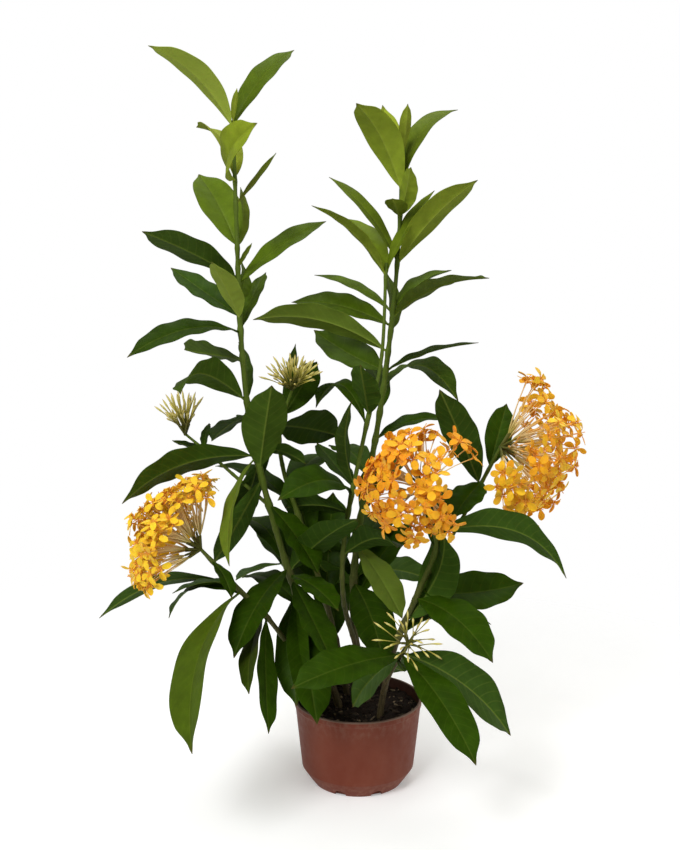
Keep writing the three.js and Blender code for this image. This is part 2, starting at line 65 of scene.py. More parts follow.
# Each shoot has a path and the radius at its two ends, in millimetres, and its leaves.
# A leaf is [height of its node, azimuth, rise, length, width, arch, roll], in millimetres and degrees.
# Azimuth 0 points along +X and 90 along +Y. Arch lifts the middle of the blade off its chord.
SHOOTS = {
    "tall_left": {
        "plant": "left",
        "path": [[-18, 0, 44], [-20, 0, 78], [-54, 0, 171], [-81, 0, 262], [-99, 0, 346],
                 [-106, 0, 428], [-108, 0, 510], [-110, 0, 611]],
        "radius": [3.8, 1.5],
        "leaves": [
            [609, -71, 61, 32, 8, 0, 35],
            [606, 40, 45, 96, 27, 9, 15],
            [604, -132, 34, 112, 31, 12, 5],
            [559, -69, 35, 82, 36, 15, 90],
            [559, 127, 37, 80, 34, 14, 15],
            [539, 0, 51, 57, 10, -1, -25],
            [501, 132, 49, 85, 39, 6, -15],
            [501, 91, 41, 80, 18, 4, 65],
            [483, -45, 50, 30, 7, 0, 5],
            [474, -139, 24, 108, 35, 3, 25],
            [469, 26, 32, 102, 26, 7, 20],
            [455, 90, 28, 60, 22, 3, 70],
            [440, 144, 26, 92, 28, 0, -15],
            [438, -111, 45, 76, 28, 2, -10],
            [428, 73, 35, 82, 21, 3, -15],
            [426, -140, -6, 118, 28, 15, -20],
            [402, 133, 0, 88, 40, 0, 35],
            [363, -119, 12, 103, 38, 26, 38],
            [363, 100, 33, 84, 15, 5, 40],
            [350, 126, -27, 76, 24, 4, 5],
            [319, 26, -20, 54, 24, 6, -30],
            [313, -152, -13, 132, 39, 19, 55],
            [313, -104, -45, 114, 26, 11, 50],
            [306, 121, -59, 84, 36, 0, -10],
            [300, -72, 62, 96, 42, 2, 0],
            [292, 165, -60, 98, 22, -6, 70],
            [290, 98, 20, 98, 25, 12, 0],
            [268, -30, -48, 80, 40, 4, 0],
            [211, 135, -24, 80, 24, 4, 10],
            [206, -113, -24, 120, 36, 10, 10],
            [206, 125, 8, 108, 32, 25, 0],
            [203, -41, 38, 106, 40, 7, -30],
            [200, -53, -11, 76, 30, 6, 0],
            [196, -62, -33, 98, 38, 1, -20],
            [183, -88, -47, 110, 36, 5, 30],
            [182, -78, -41, 132, 42, 0, -20],
            [165, 125, 2, 110, 36, 14, 0],
        ],
    },
    "bud_left": {
        "plant": "left",
        "path": [[-84, 0, 268], [-109, 8, 288], [-132, 11, 308], [-159, 12, 331]],
        "radius": [1.8, 1.2],
        "leaves": [
            [316, -135, 21, 40, 10, 0, 25],
            [316, 87, 33, 36, 12, 2, -40],
        ],
    },
    "low_left": {
        "plant": "left",
        "path": [[-24, -3, 88], [-54, -25, 128], [-82, -40, 172], [-107, -42, 199], [-141, -42, 237]],
        "radius": [2.6, 1.6],
        "leaves": [
            [226, -60, -30, 46, 18, 4, -20],
            [206, -172, -8, 54, 24, 5, 25],
            [199, 168, -15, 140, 23, 24, 40],
            [198, -104, -37, 162, 57, 21, 40],
            [193, 152, -22, 92, 22, 22, -10],
            [176, -97, -31, 88, 23, 7, 40],
            [174, -86, -35, 120, 26, -2, -50],
        ],
    },
    "tall_right": {
        "plant": "right",
        "path": [[12, 15, 44], [8, 15, 80], [-4, 15, 150], [-1, 15, 229], [17, 15, 334],
                 [27, 15, 408], [34, 15, 481], [40, 15, 601]],
        "radius": [3.8, 1.5],
        "leaves": [
            [584, -84, 62, 46, 12, 0, 20],
            [555, 37, 46, 94, 26, 18, 5],
            [550, -127, 47, 100, 33, 12, 15],
            [550, 106, 54, 96, 30, 0, 20],
            [528, -82, 42, 64, 20, 2, -55],
            [528, -103, 24, 40, 20, 0, -5],
            [488, 152, 47, 102, 18, 9, -15],
            [485, -38, 42, 112, 32, 8, -20],
            [446, 20, 30, 66, 34, 6, 0],
            [442, 148, 20, 90, 18, 7, -10],
            [438, -34, 22, 105, 40, 10, -10],
            [430, 156, 10, 102, 34, 9, -25],
            [425, 92, 36, 84, 28, 4, 60],
            [406, -163, 15, 130, 32, 19, 45],
            [389, -33, 19, 99, 24, 5, -10],
            [389, 149, 23, 84, 42, -4, -25],
            [373, 35, -13, 92, 36, 29, -20],
            [350, 102, 26, 98, 32, 10, 30],
            [325, 27, 8, 84, 26, 9, 5],
            [290, 108, 4, 102, 34, 10, 0],
            [250, 62, 20, 108, 36, 18, 0],
            [225, -49, -42, 84, 32, 4, 5],
            [205, 66, 10, 112, 40, 18, 0],
            [193, 39, -13, 104, 34, 12, -50],
            [188, -66, -42, 88, 42, 10, 0],
            [165, 40, 42, 104, 40, 8, 0],
            [108, 54, -23, 84, 38, 3, -45],
        ],
    },
    "short_right": {
        "plant": "right",
        "path": [[-2, 14, 125], [-14, -2, 180], [-12, -8, 245], [6, -8, 339], [20, -3, 402],
                 [24, 0, 488]],
        "radius": [2.6, 1.4],
        "leaves": [
            [477, -148, 39, 98, 24, 8, 0],
            [477, 24, 57, 88, 22, 5, 0],
            [475, 124, 37, 84, 32, 9, 5],
            [352, -100, 47, 72, 30, 0, -25],
            [343, 128, 4, 76, 24, 31, -5],
            [288, -93, 68, 90, 30, 8, 70],
            [286, 121, 24, 72, 30, 0, 15],
            [278, -131, 8, 98, 38, 19, -25],
            [262, 133, -8, 90, 32, 6, 45],
            [221, -54, 18, 84, 34, 14, -40],
        ],
    },
    "low_right": {
        "plant": "front",
        "path": [[20, -24, 44], [21, -24, 80], [34, -27, 142], [54, -34, 195], [68, -48, 240],
                 [62, -62, 268], [54, -74, 300]],
        "radius": [3.2, 1.6],
        "leaves": [
            [257, -44, -5, 139, 44, 28, -55],
            [235, 80, 20, 104, 34, 14, 0],
            [196, 13, 0, 100, 44, -9, 35],
            [188, -44, -23, 96, 44, 14, 12],
            [164, -51, 62, 106, 44, 16, -90],
            [150, 20, 0, 94, 36, 20, 0],
        ],
    },
    "head_right": {
        "plant": "front",
        "path": [[58, -36, 205], [75, -20, 227], [93, -8, 253], [129, 0, 321]],
        "radius": [2.0, 1.5],
        "leaves": [
            [302, 66, 46, 72, 26, 0, 30],
            [290, -124, -24, 58, 36, 3, 0],
            [286, -134, 58, 113, 34, 2, 20],
        ],
    },
    "front": {
        "plant": "front",
        "path": [[22, -27, 95], [28, -45, 120], [43, -75, 161]],
        "radius": [2.2, 1.5],
        "leaves": [
            [149, -38, -23, 121, 54, 14, -75],
            [146, -141, 0, 122, 42, 7, -20],
            [146, -58, -29, 125, 40, 10, 0],
            [146, -136, -27, 68, 40, 7, 85],
            [140, -83, 1, 30, 9, 0, -30],
        ],
    },
    "middle": {
        "plant": "back",
        "path": [[-10, 32, 44], [-12, 32, 80], [-31, 30, 166], [-55, 30, 245], [-70, 30, 293],
                 [-73, 28, 332], [-61, 22, 371]],
        "radius": [3.4, 1.4],
        "leaves": [
            [345, 78, 50, 80, 10, 0, 0],
            [345, 44, 47, 64, 28, 2, 60],
            [336, 53, -15, 94, 45, 3, -50],
            [322, 130, 10, 70, 24, 8, 0],
            [272, 72, 10, 96, 34, 8, 0],
            [250, 157, 24, 96, 34, 14, 0],
            [235, 42, -38, 66, 38, 0, -15],
            [215, 104, 20, 110, 36, 18, 0],
            [210, 47, -46, 90, 38, 0, -20],
            [165, 84, 54, 112, 42, 4, 0],
            [165, 140, 30, 108, 40, 6, 0],
            [125, 100, 58, 108, 42, 6, 0],
            [108, 126, -20, 84, 38, 3, 45],
        ],
    },
}

# Leaves that look older or younger than their neighbours: (shoot, height, azimuth) to their age, from
# 0 young to 1 old, and how far they have paled, or below 0 how far they have browned. On some leaves
# the paling is painted sheen: a pale colour that stands in for light glancing off the wax.
ODD_LEAVES = {
    ("tall_right", 225, -49): (0.85, 0.14),
    ("low_left", 176, -97): (0.9, -0.3),
    ("low_left", 198, -104): (0.62, 0.02),
    # This leaf's paling is painted sheen: its pale colour stands in for the gloss of light on its wax.
    ("tall_left", 604, -132): (0.0, 0.45),
    ("tall_left", 606, 40): (0.48, 0),
    ("tall_left", 559, -69): (0.3, 0),
    ("tall_left", 501, 132): (0.5, 0.06),
    ("tall_left", 539, 0): (0.4, -0.45),
    ("tall_left", 474, -139): (0.85, 0),
    ("tall_left", 440, 144): (1.0, 0),
    ("tall_left", 469, 26): (0.5, 0),
    ("tall_left", 438, -111): (0.4, 0.35),
    ("tall_left", 426, -140): (0.95, 0),
    ("tall_right", 584, -84): (0.1, -0.35),
    ("tall_right", 555, 37): (0.42, 0),
    ("tall_right", 389, -33): (0.9, 0),
    ("tall_right", 485, -38): (0.22, 0),
    ("tall_right", 406, -163): (0.6, 0.12),
    ("tall_left", 313, -104): (0.55, 0.12),
    ("tall_left", 300, -72): (0.82, 0),
    ("short_right", 477, -148): (0.3, 0),
}

# A flower head sits on the end of its shoot: the way it faces, the distance from hub to florets, the
# half angle they cover, how many would fill it, its series of chances, its slot, and how far it has
# turned from yellow to orange. It can have a cone that is bare of florets, and one whose florets are
# still closed, each given by its middle and its half angle.
BLOOMS = {
    "left": {
        "shoot": "low_left", "facing": [-0.86, 0, 0.54], "reach": 64, "spread": 70, "count": 140,
        "series": 3, "slot": "yellow_petal", "ripe": 0.0, "bare": ([0.3, -0.95, 0.1], 52),
    },
    "middle": {
        "shoot": "low_right", "facing": [-0.1, -0.78, 0.62], "reach": 52, "spread": 92, "count": 120,
        "series": 11, "slot": "orange_petal", "ripe": 0.75, "bare": ([0.85, -0.5, 0.2], 40),
        "closed": ([0.2, -0.2, 0.96], 27),
    },
    "right": {
        "shoot": "head_right", "facing": [0.9, -0.38, 0.02], "reach": 70, "spread": 81, "count": 130,
        "series": 29, "slot": "orange_petal", "ripe": 0.4, "bare": ([-0.2, -0.45, 0.85], 38),
        "closed": ([-0.1, -0.6, 0.75], 50),
    },
}

# A bud cluster sits on the end of its shoot, in the same way.
BUD_CLUSTERS = {
    "left": {
        "shoot": "bud_left", "facing": [-0.15, -0.1, 1], "reach": 42, "spread": 39,
        "count": 52, "series": 5,
    },
    "middle": {
        "shoot": "middle", "facing": [0, -0.2, 1], "reach": 36, "spread": 64,
        "count": 64, "series": 17,
    },
    "front": {
        "shoot": "front", "facing": [0, -0.7, 0.7], "reach": 36, "spread": 96,
        "count": 28, "series": 23,
    },
}


def linear(hex_color):
    """An sRGB hex colour as linear red, green, blue."""
    parts = [int(hex_color[i:i + 2], 16) / 255 for i in (1, 3, 5)]
    return tuple(c / 12.92 if c <= 0.04045 else ((c + 0.055) / 1.055) ** 2.4 for c in parts)


# Settings that a user would change. Each of these five functions makes one property of a group.


def length(name, description, default):
    return FloatProperty(name=name, description=description, default=default, unit="LENGTH", precision=5)


def fraction(name, description, default):
    return FloatProperty(
        name=name, description=description, default=default, min=0, max=1, subtype="FACTOR")


def number_of(name, description, default):
    return IntProperty(name=name, description=description, default=default, min=0)


def color(name, description, hex_color):
    return FloatVectorProperty(
        name=name, description=description, default=linear(hex_color), subtype="COLOR", min=0, max=1)


def power(name, description, default):
    return FloatProperty(name=name, description=description, default=default, unit="POWER")


class PotSettings(bpy.types.PropertyGroup):
    """Sizes and colours of the nursery pot"""

    rim_radius: length("Rim radius", "Outer radius of the lip", POT_TOP.x)
    height: length("Height", "Height of the pot", POT_TOP.z)
    wall: length("Wall", "Thickness of the wall", 1.6 * MM)
    floor: length("Floor", "Thickness of the floor", 2.4 * MM)
    foot_radius: length("Foot radius", "Radius of the flat underside", 43 * MM)
    shoulder_radius: length("Shoulder radius", "Radius where the wall starts", 53 * MM)
    shoulder_height: length("Shoulder height", "Height where the wall starts", 15 * MM)
    lip_height: length("Lip height", "Height of the band round the rim", 6 * MM)
    lip_out: length("Lip out", "How far the lip stands out of the wall", 0.9 * MM)
    notches: number_of("Notches", "Drain notches round the foot", 8)
    notch_width: length("Notch width", "Width of a drain notch", 11 * MM)
    notch_height: length("Notch height", "Height of a drain notch", 6 * MM)
    tint: color("Plastic", "Colour of the pot's plastic", "#672B18")
    lip_tint: color("Lip", "Colour of the rubbed and dusty lip", "#776459")


class SoilSettings(bpy.types.PropertyGroup):
    """Level, bits and colours of the potting mix"""

    level: length("Level", "Height of the soil's surface", 71 * MM)
    bump: length("Bump", "Height of the lumps on top", 1.8 * MM)
    chips: number_of("Bark chips", "Coarse bark bits on top", 150)
    crumbs: number_of("Crumbs", "Small peat crumbs on top", 420)
    peat: color("Peat", "Colour of the moist peat", "#130E0A")
    bark: color("Bark", "Colour of the bark bits", "#382619")
    pale_bark: color("Pale bark", "Colour of the dry, pale bits", "#8E7C62")


class LeafSettings(bpy.types.PropertyGroup):
    """Relief and colours that all leaves share"""

    thickness: length("Thickness", "Thickness of a blade", 0.5 * MM)
    fold: fraction("Fold", "Rise of a leaf's edge over its midrib, for each millimetre from it", 0.16)
    vein_spacing: length("Vein spacing", "Distance between two side veins along the midrib", 9 * MM)
    quilting: length("Quilting", "Height of the blade between two side veins", 0.45 * MM)
    ripple: length("Ripple", "Height of the waves along the edges of a full-grown leaf", 1.3 * MM)
    young: color("Young leaf", "Colour of the newest leaves", "#99A630")
    grown: color("Grown leaf", "Colour of the leaves halfway down", "#485C0C")
    old: color("Old leaf", "Colour of the lowest leaves", "#294104")
    vein: color("Vein", "Colour of the midrib and side veins", "#9AA84A")
    # On a few leaves the paling is painted sheen, and this colour stands in for light glancing off the
    # wax.
    pale: color("Pale leaf", "Colour that a new or a starved leaf pales to", "#B6CC5A")
    browned: color("Browned leaf", "Colour of a dried patch or tip", "#4A3B20")


class StemSettings(bpy.types.PropertyGroup):
    """Swelling and colours of the stems"""

    node_swelling: fraction("Node swelling", "How much thicker a stem is where leaves grow from it", 0.35)
    green: color("Young stem", "Colour of the green upper stem", "#56691F")
    woody: color("Woody stem", "Colour of the bark at the foot of a stem", "#544731")


class FlowerSettings(bpy.types.PropertyGroup):
    """Sizes and colours of florets and buds"""

    petal_length: length("Petal length", "Length of one petal", 11.5 * MM)
    petal_width: length("Petal width", "Width of one petal", 7.2 * MM)
    petal_thickness: length("Petal thickness", "Thickness of a petal", 0.35 * MM)
    cup: length("Cup", "Depth of the floret's throat", 2.2 * MM)
    tube_radius: length("Tube radius", "Radius of the tube that carries a floret", 0.45 * MM)
    bud_radius: length("Bud radius", "Radius of an unopened bud near its tip", 1.0 * MM)
    yellow: color("Yellow petal", "Colour of newly opened florets", "#FFCE2E")
    orange: color("Orange petal", "Colour of older florets", "#F59A12")
    throat: color("Throat", "Colour at the middle of a floret", "#E37A14")
    tube: color("Tube", "Colour of the tubes", "#F4DEA4")
    bud: color("Bud", "Colour of the unopened buds", "#E2D88A")


class StageSettings(bpy.types.PropertyGroup):
    """Camera, lights and floor"""

    camera_place: FloatVectorProperty(
        name="Camera", description="Where the camera stands", default=(-0.017, -1.150, 0.560),
        subtype="TRANSLATION", unit="LENGTH")
    camera_pitch: FloatProperty(
        name="Pitch", description="How far the camera looks down", default=math.radians(10.75),
        subtype="ANGLE")
    focal_pixels: FloatProperty(
        name="Focal length", description="Focal length in pixels of a frame 850 high", default=1290)
    floor_radius: length("Floor radius", "Radius of the pale floor", 2.2)
    floor: color("Floor", "Colour of the floor", "#F5F6F8")
    key: power("Key light", "Power of the main softbox", 40)
    fill: power("Fill light", "Power of the side softbox", 8)
    top: power("Top light", "Power of the overhead softbox", 16)


def chance(i, k):
    """A repeatable number from 0 to 1 for item i of series k."""
    value = math.sin(i * 12.9898 + k * 78.233) * 43758.5453
    return value - math.floor(value)


def spread_about(middle, reach, i, k):
    """A repeatable number within reach of middle, for item i of series k."""
    return middle + reach * (2 * chance(i, k) - 1)


def smoothstep(x, low, high):
    t = np.clip((x - low) / (high - low), 0, 1)
    return t * t * (3 - 2 * t)


# Materials. A value whose name ends in _mm is in millimetres.

SOFT = {"interpolation_type": "SMOOTHSTEP"}  # for a node that eases in and out

# Light passes a little way into a blade, and comes back green.
LEAF_FLESH = {
    "Subsurface_Weight": 0.06,
    "Subsurface_Radius": (0.4, 0.8, 0.1),
    "Subsurface_Scale": 1.5 * MM,
}


def add(tree, kind, inputs=(), out=0, stops=(), **settings):
    """Adds a node with its settings and links, and gives back one of its outputs. The inputs, a list in
    the order of the sockets or a dict by their names, are values or the outputs that feed them. The
    stops are the places and colours of a ramp. A colour is its red, green and blue."""
    node = tree.nodes.new("ShaderNode" + kind)
    for name, value in settings.items():
        setattr(node, name, value)
    for socket, value in inputs.items() if isinstance(inputs, dict) else enumerate(inputs):
        if isinstance(value, bpy.types.NodeSocket):
            tree.links.new(value, node.inputs[socket])
        elif node.inputs[socket].type == "RGBA":
            node.inputs[socket].default_value = (*value, 1)
        else:
            node.inputs[socket].default_value = value
    for i, (place, tint) in enumerate(stops):
        elements = node.color_ramp.elements
        element = elements[i] if i < len(elements) else elements.new(place)
        element.position = place
        element.color = (*tint, 1)
    return node.outputs[out]


def new_material(name, **constants):
    """A material with a Principled shader whose constant sockets are set, and its tree and shader."""
    material = bpy.data.materials.new(name)
    material.use_nodes = True
    tree = material.node_tree
    shader = tree.nodes["Principled BSDF"]
    for socket, value in constants.items():
        shader.inputs[socket.replace("_", " ")].default_value = value
    return material, tree, shader


def feed(tree, shader, base, roughness, relief, depth_mm):
    """Links the colour, the roughness, and the bump of a pattern whose full relief is depth_mm."""
    tree.links.new(base, shader.inputs["Base Color"])
    tree.links.new(roughness, shader.inputs["Roughness"])
    bump = add(tree, "Bump", {"Height": relief, "Strength": 1.0, "Distance": depth_mm * MM}, "Normal")
    tree.links.new(bump, shader.inputs["Normal"])


def place_and_kind(tree):
    """The six numbers that the mesh carries: each point's place on its part, and its part's kind."""
    numbers = []
    for name in ("place", "kind"):
        vector = add(tree, "Attribute", out="Vector", attribute_name=name)
        numbers.extend(add(tree, "SeparateXYZ", [vector]).node.outputs)
    return numbers


def grain(tree, size_mm, detail=3.0, stretch=(1, 1, 1), roughness=0.55):
    """Noise from 0 to 1 whose cells are size_mm across, in the object's own coordinates."""
    place = add(tree, "TexCoord", out="Object")
    mapped = add(tree, "Mapping", {"Vector": place, "Scale": stretch})
    inputs = {"Vector": mapped, "Scale": 1 / (size_mm * MM), "Detail": detail, "Roughness": roughness}
    return add(tree, "TexNoise", inputs, "Fac")


def patches(tree, size_mm, low, high, cut=0.3, detail=3.0, stretch=(1, 1, 1)):
    """Cloudy patches size_mm across whose strength runs from low to high. What lies under cut or over
    1 - cut in the noise is level."""
    return add(tree, "MapRange", [grain(tree, size_mm, detail, stretch), cut, 1 - cut, low, high])


def overlaid(tree, base, tint, *strengths):
    """The base colour under a tint that is as strong as the product of the strengths."""
    shown = strengths[0]
    for strength in strengths[1:]:
        shown = add(tree, "Math", [shown, strength], operation="MULTIPLY")
    return add(tree, "MixRGB", [shown, base, tint])


def toned(tree, base, tone):
    """The base colour made lighter or darker by a tone, which is 1 where it stays."""
    grey = add(tree, "CombineColor", [tone, tone, tone])
    return add(tree, "MixRGB", [1.0, base, grey], blend_type="MULTIPLY")


def own_tone(tree, luck, cloud_mm, low, high):
    """A leaf's tone: clouds cloud_mm across, times one level for the whole leaf."""
    cloud = patches(tree, cloud_mm, low, high, detail=4)
    level = add(tree, "MapRange", [luck, 0, 1, low, high])
    return add(tree, "Math", [cloud, level], operation="MULTIPLY")


def leaf_color(tree, look, age, halfway):
    """From young at the top of the plant, through grown where the age is halfway, to old at its foot."""
    stops = [(0.0, look.young), (halfway, look.grown), (1.0, look.old)]
    return add(tree, "ValToRGB", [age], stops=stops)


def veined(tree, look, base, distance, phase, midrib_mm, side_width, side_share, midrib_share):
    """The base colour with the side veins and the midrib drawn over it, each as strong as its share. A
    side vein's width is a part of the distance between two of them."""
    to_vein = add(tree, "Math", [phase, 0.5], operation="PINGPONG")
    side = add(tree, "MapRange", [to_vein, 0, side_width, 1, 0], **SOFT)
    base = overlaid(tree, base, look.vein, side, side_share)
    to_midrib = add(tree, "Math", [distance], operation="ABSOLUTE")
    midrib = add(tree, "MapRange", [to_midrib, 0.35 * midrib_mm, midrib_mm, 1, 0], **SOFT)
    return overlaid(tree, base, look.vein, midrib, midrib_share)


def weathered(tree, look, base, wear_and_sheen, along):
    """The base colour, paled where its paling number is above 0 and brown in patches about 12 mm across
    where it is below, most of all towards the stalk, and browned at its drawn-out tip. The paling is real
    on most leaves and painted sheen on a few, where the pale colour stands in for light on the wax."""
    paling_and_sheen = add(tree, "MapRange", [wear_and_sheen, 0, 1, 0, 1])
    drying = add(tree, "MapRange", [wear_and_sheen, -1, 0, 1, 0])
    patch = add(tree, "MapRange", [grain(tree, 12), 0.3, 0.6, 0.3, 1])
    near_stalk = add(tree, "MapRange", [along, 0.45, 0.75, 1, 0.35])
    dried = add(tree, "Math", [drying, patch], operation="MULTIPLY")
    dried = add(tree, "Math", [dried, near_stalk], operation="MULTIPLY")
    tip = add(tree, "MapRange", [along, 0.955, 0.99, 0, 0.7])
    brown = add(tree, "Math", [dried, tip], operation="MAXIMUM")
    # Painted sheen on some leaves: there the paling stands in for light glancing off the wax. Elsewhere
    # it is real paling.
    paled = add(tree, "MixRGB", [paling_and_sheen, base, look.pale])
    return add(tree, "MixRGB", [brown, paled, look.browned])


def upper_leaf_material(look):
    """Living ixora leaf, upper side: a waxy skin over a quilted blade. It reads as deep green with a
    soft sheen, a pale midrib and faint side veins."""
    material, tree, shader = new_material(
        "ixora_leaf_upper_waxy", IOR=1.45, Specular_IOR_Level=0.05, Coat_Weight=0.02,
        Coat_Roughness=0.3, **LEAF_FLESH)
    distance, phase, along, age, luck, wear_and_sheen = place_and_kind(tree)
    base = leaf_color(tree, look, age, halfway=0.5)
    # The clouds, about 14 mm across, are where the wax is thin.
    base = toned(tree, base, own_tone(tree, luck, cloud_mm=14, low=0.78, high=1.2))
    base = veined(
        tree, look, base, distance, phase, midrib_mm=1.0, side_width=0.085, side_share=0.03,
        midrib_share=0.07)
    base = weathered(tree, look, base, wear_and_sheen, along)
    roughness = patches(tree, 3, 0.4, 0.56, cut=0.2)
    # The net of small veins is about 2 mm across, drawn at its real relief.
    net = grain(tree, 2.2, roughness=0.6)
    feed(tree, shader, base, roughness, net, depth_mm=0.07)
    return material


def under_leaf_material(look):
    """Living ixora leaf, underside: no wax, raised veins. It reads as a paler, greyer, dull green."""
    material, tree, shader = new_material(
        "ixora_leaf_under_dull", IOR=1.42, Specular_IOR_Level=0.1, **LEAF_FLESH)
    distance, phase, along, age, luck, wear_and_sheen = place_and_kind(tree)
    base = leaf_color(tree, look, age, halfway=0.6)
    base = add(tree, "MixRGB", [0.13, base, linear("#6C9440")])
    base = toned(tree, base, own_tone(tree, luck, cloud_mm=10, low=0.85, high=1.12))
    base = veined(
        tree, look, base, distance, phase, midrib_mm=1.3, side_width=0.11, side_share=0.07,
        midrib_share=0.2)
    base = weathered(tree, look, base, wear_and_sheen, along)
    roughness = patches(tree, 2, 0.55, 0.72, cut=0.2)
    feed(tree, shader, base, roughness, grain(tree, 1.8), depth_mm=0.08)
    return material


def stem_material(look):
    """Ixora stem: smooth green bark above that turns to fissured brown cork towards the soil. It reads
    as satin green rods with brown, ridged feet."""
    material, tree, shader = new_material("ixora_stem_bark", IOR=1.45, Specular_IOR_Level=0.2)
    place = add(tree, "TexCoord", out="Object")
    height = add(tree, "SeparateXYZ", [place], "Z")
    ridges = grain(tree, 1.2, 4, (1, 1, 0.14))
    # Cork has formed from the foot up, to a height that wanders by 50 mm.
    wander = add(tree, "MapRange", [grain(tree, 18, 2), 0, 1, -50 * MM, 50 * MM])
    wandering = add(tree, "Math", [height, wander])
    woody = add(tree, "MapRange", [wandering, 90 * MM, 300 * MM, 0.95, 0], **SOFT)
    streaks = add(tree, "MapRange", [ridges, 0.35, 0.65, 0, 0.5])
    green = add(tree, "MixRGB", [streaks, look.green, linear("#43561A")])
    fissures = add(tree, "MapRange", [ridges, 0.4, 0.6, 0, 1])
    brown = add(tree, "MixRGB", [fissures, look.woody, linear("#3C3122")])
    base = add(tree, "MixRGB", [woody, green, brown])
    # Lenticels: pale corky dots about 2 mm apart.
    dots = add(tree, "TexVoronoi", {"Vector": place, "Scale": 1 / (2.4 * MM)}, "Distance")
    cork = add(tree, "MapRange", [dots, 0.12, 0.2, 0.35, 0])
    base = add(tree, "MixRGB", [cork, base, linear("#857B58")])
    roughness = add(tree, "MapRange", [ridges, 0.2, 0.8, 0.45, 0.68])
    feed(tree, shader, base, roughness, ridges, depth_mm=0.5)
    return material


def petal_material(look):
    """Ixora petal: thin, matte tissue with a velvety bloom. It reads as soft yellow to orange, deeper
    at the throat, with light glowing through the edges."""
    material, tree, shader = new_material(
        "ixora_petal_velvet", IOR=1.4, Specular_IOR_Level=0.25, Sheen_Weight=0.15, Sheen_Roughness=0.4,
        Subsurface_Weight=0.3, Subsurface_Radius=(1.0, 0.55, 0.1), Subsurface_Scale=2 * MM)
    out, across, _, ripe, luck, _ = place_and_kind(tree)
    sooner = add(tree, "MapRange", [luck, 0, 1, -0.35, 0.35])
    ripeness = add(tree, "Math", [ripe, sooner], use_clamp=True)
    base = add(tree, "MixRGB", [ripeness, look.yellow, look.orange])
    throat = add(tree, "MapRange", [out, 0.03, 0.26, 0.6, 0], **SOFT)
    base = add(tree, "MixRGB", [throat, base, look.throat])
    # Fine lines run out along each petal, 2 pi / 9 = 0.7 mm apart.
    lines = add(tree, "Math", [across, 9], operation="MULTIPLY")
    lines = add(tree, "Math", [lines], operation="SINE")
    crests = add(tree, "MapRange", [lines, 0.2, 1, 0, 0.16])
    base = add(tree, "MixRGB", [crests, base, look.orange])
    base = toned(tree, base, patches(tree, 5, 0.88, 1.1))
    roughness = patches(tree, 1, 0.48, 0.62, cut=0.2, detail=2)
    feed(tree, shader, base, roughness, lines, depth_mm=0.06)
    return material


def tube_material(look):
    """Ixora corolla tube and flower stalk: smooth, waxy tissue. It reads as thin rods, green at the
    stalk, cream along the tube and orange at the throat."""
    material, tree, shader = new_material("ixora_flower_tube", IOR=1.42, Specular_IOR_Level=0.35)
    along, _, _, _, luck, _ = place_and_kind(tree)
    base = add(tree, "ValToRGB", [along], stops=[
        (0.0, linear("#7A8A38")), (0.18, linear("#BCAE5A")), (0.4, look.tube),
        (0.85, linear("#EBB85C")), (1.0, look.orange)])
    base = overlaid(tree, base, linear("#B5724A"), luck, 0.28)
    roughness = patches(tree, 2, 0.42, 0.6, cut=0.2, detail=2)
    feed(tree, shader, base, roughness, grain(tree, 1, 2, (1, 1, 0.3)), depth_mm=0.1)
    return material


def bud_material(look):
    """Unopened ixora bud: a waxy needle. It reads as yellow-green, with a cream tip that is just
    turning to orange."""
    material, tree, shader = new_material(
        "ixora_bud_waxy", IOR=1.42, Specular_IOR_Level=0.35, Subsurface_Weight=0.12,
        Subsurface_Radius=(0.8, 0.7, 0.2), Subsurface_Scale=1 * MM)
    along, _, _, _, luck, _ = place_and_kind(tree)
    base = add(tree, "ValToRGB", [along], stops=[
        (0.0, linear("#4E5220")), (0.3, linear("#7A742C")), (0.6, linear("#BDB24E")),
        (0.85, look.bud), (1.0, linear("#C8A85A"))])
    base = overlaid(tree, base, linear("#8E8238"), luck, 0.3)
    roughness = patches(tree, 2, 0.4, 0.58, cut=0.2, detail=2)
    feed(tree, shader, base, roughness, grain(tree, 1, 2), depth_mm=0.1)
    return material


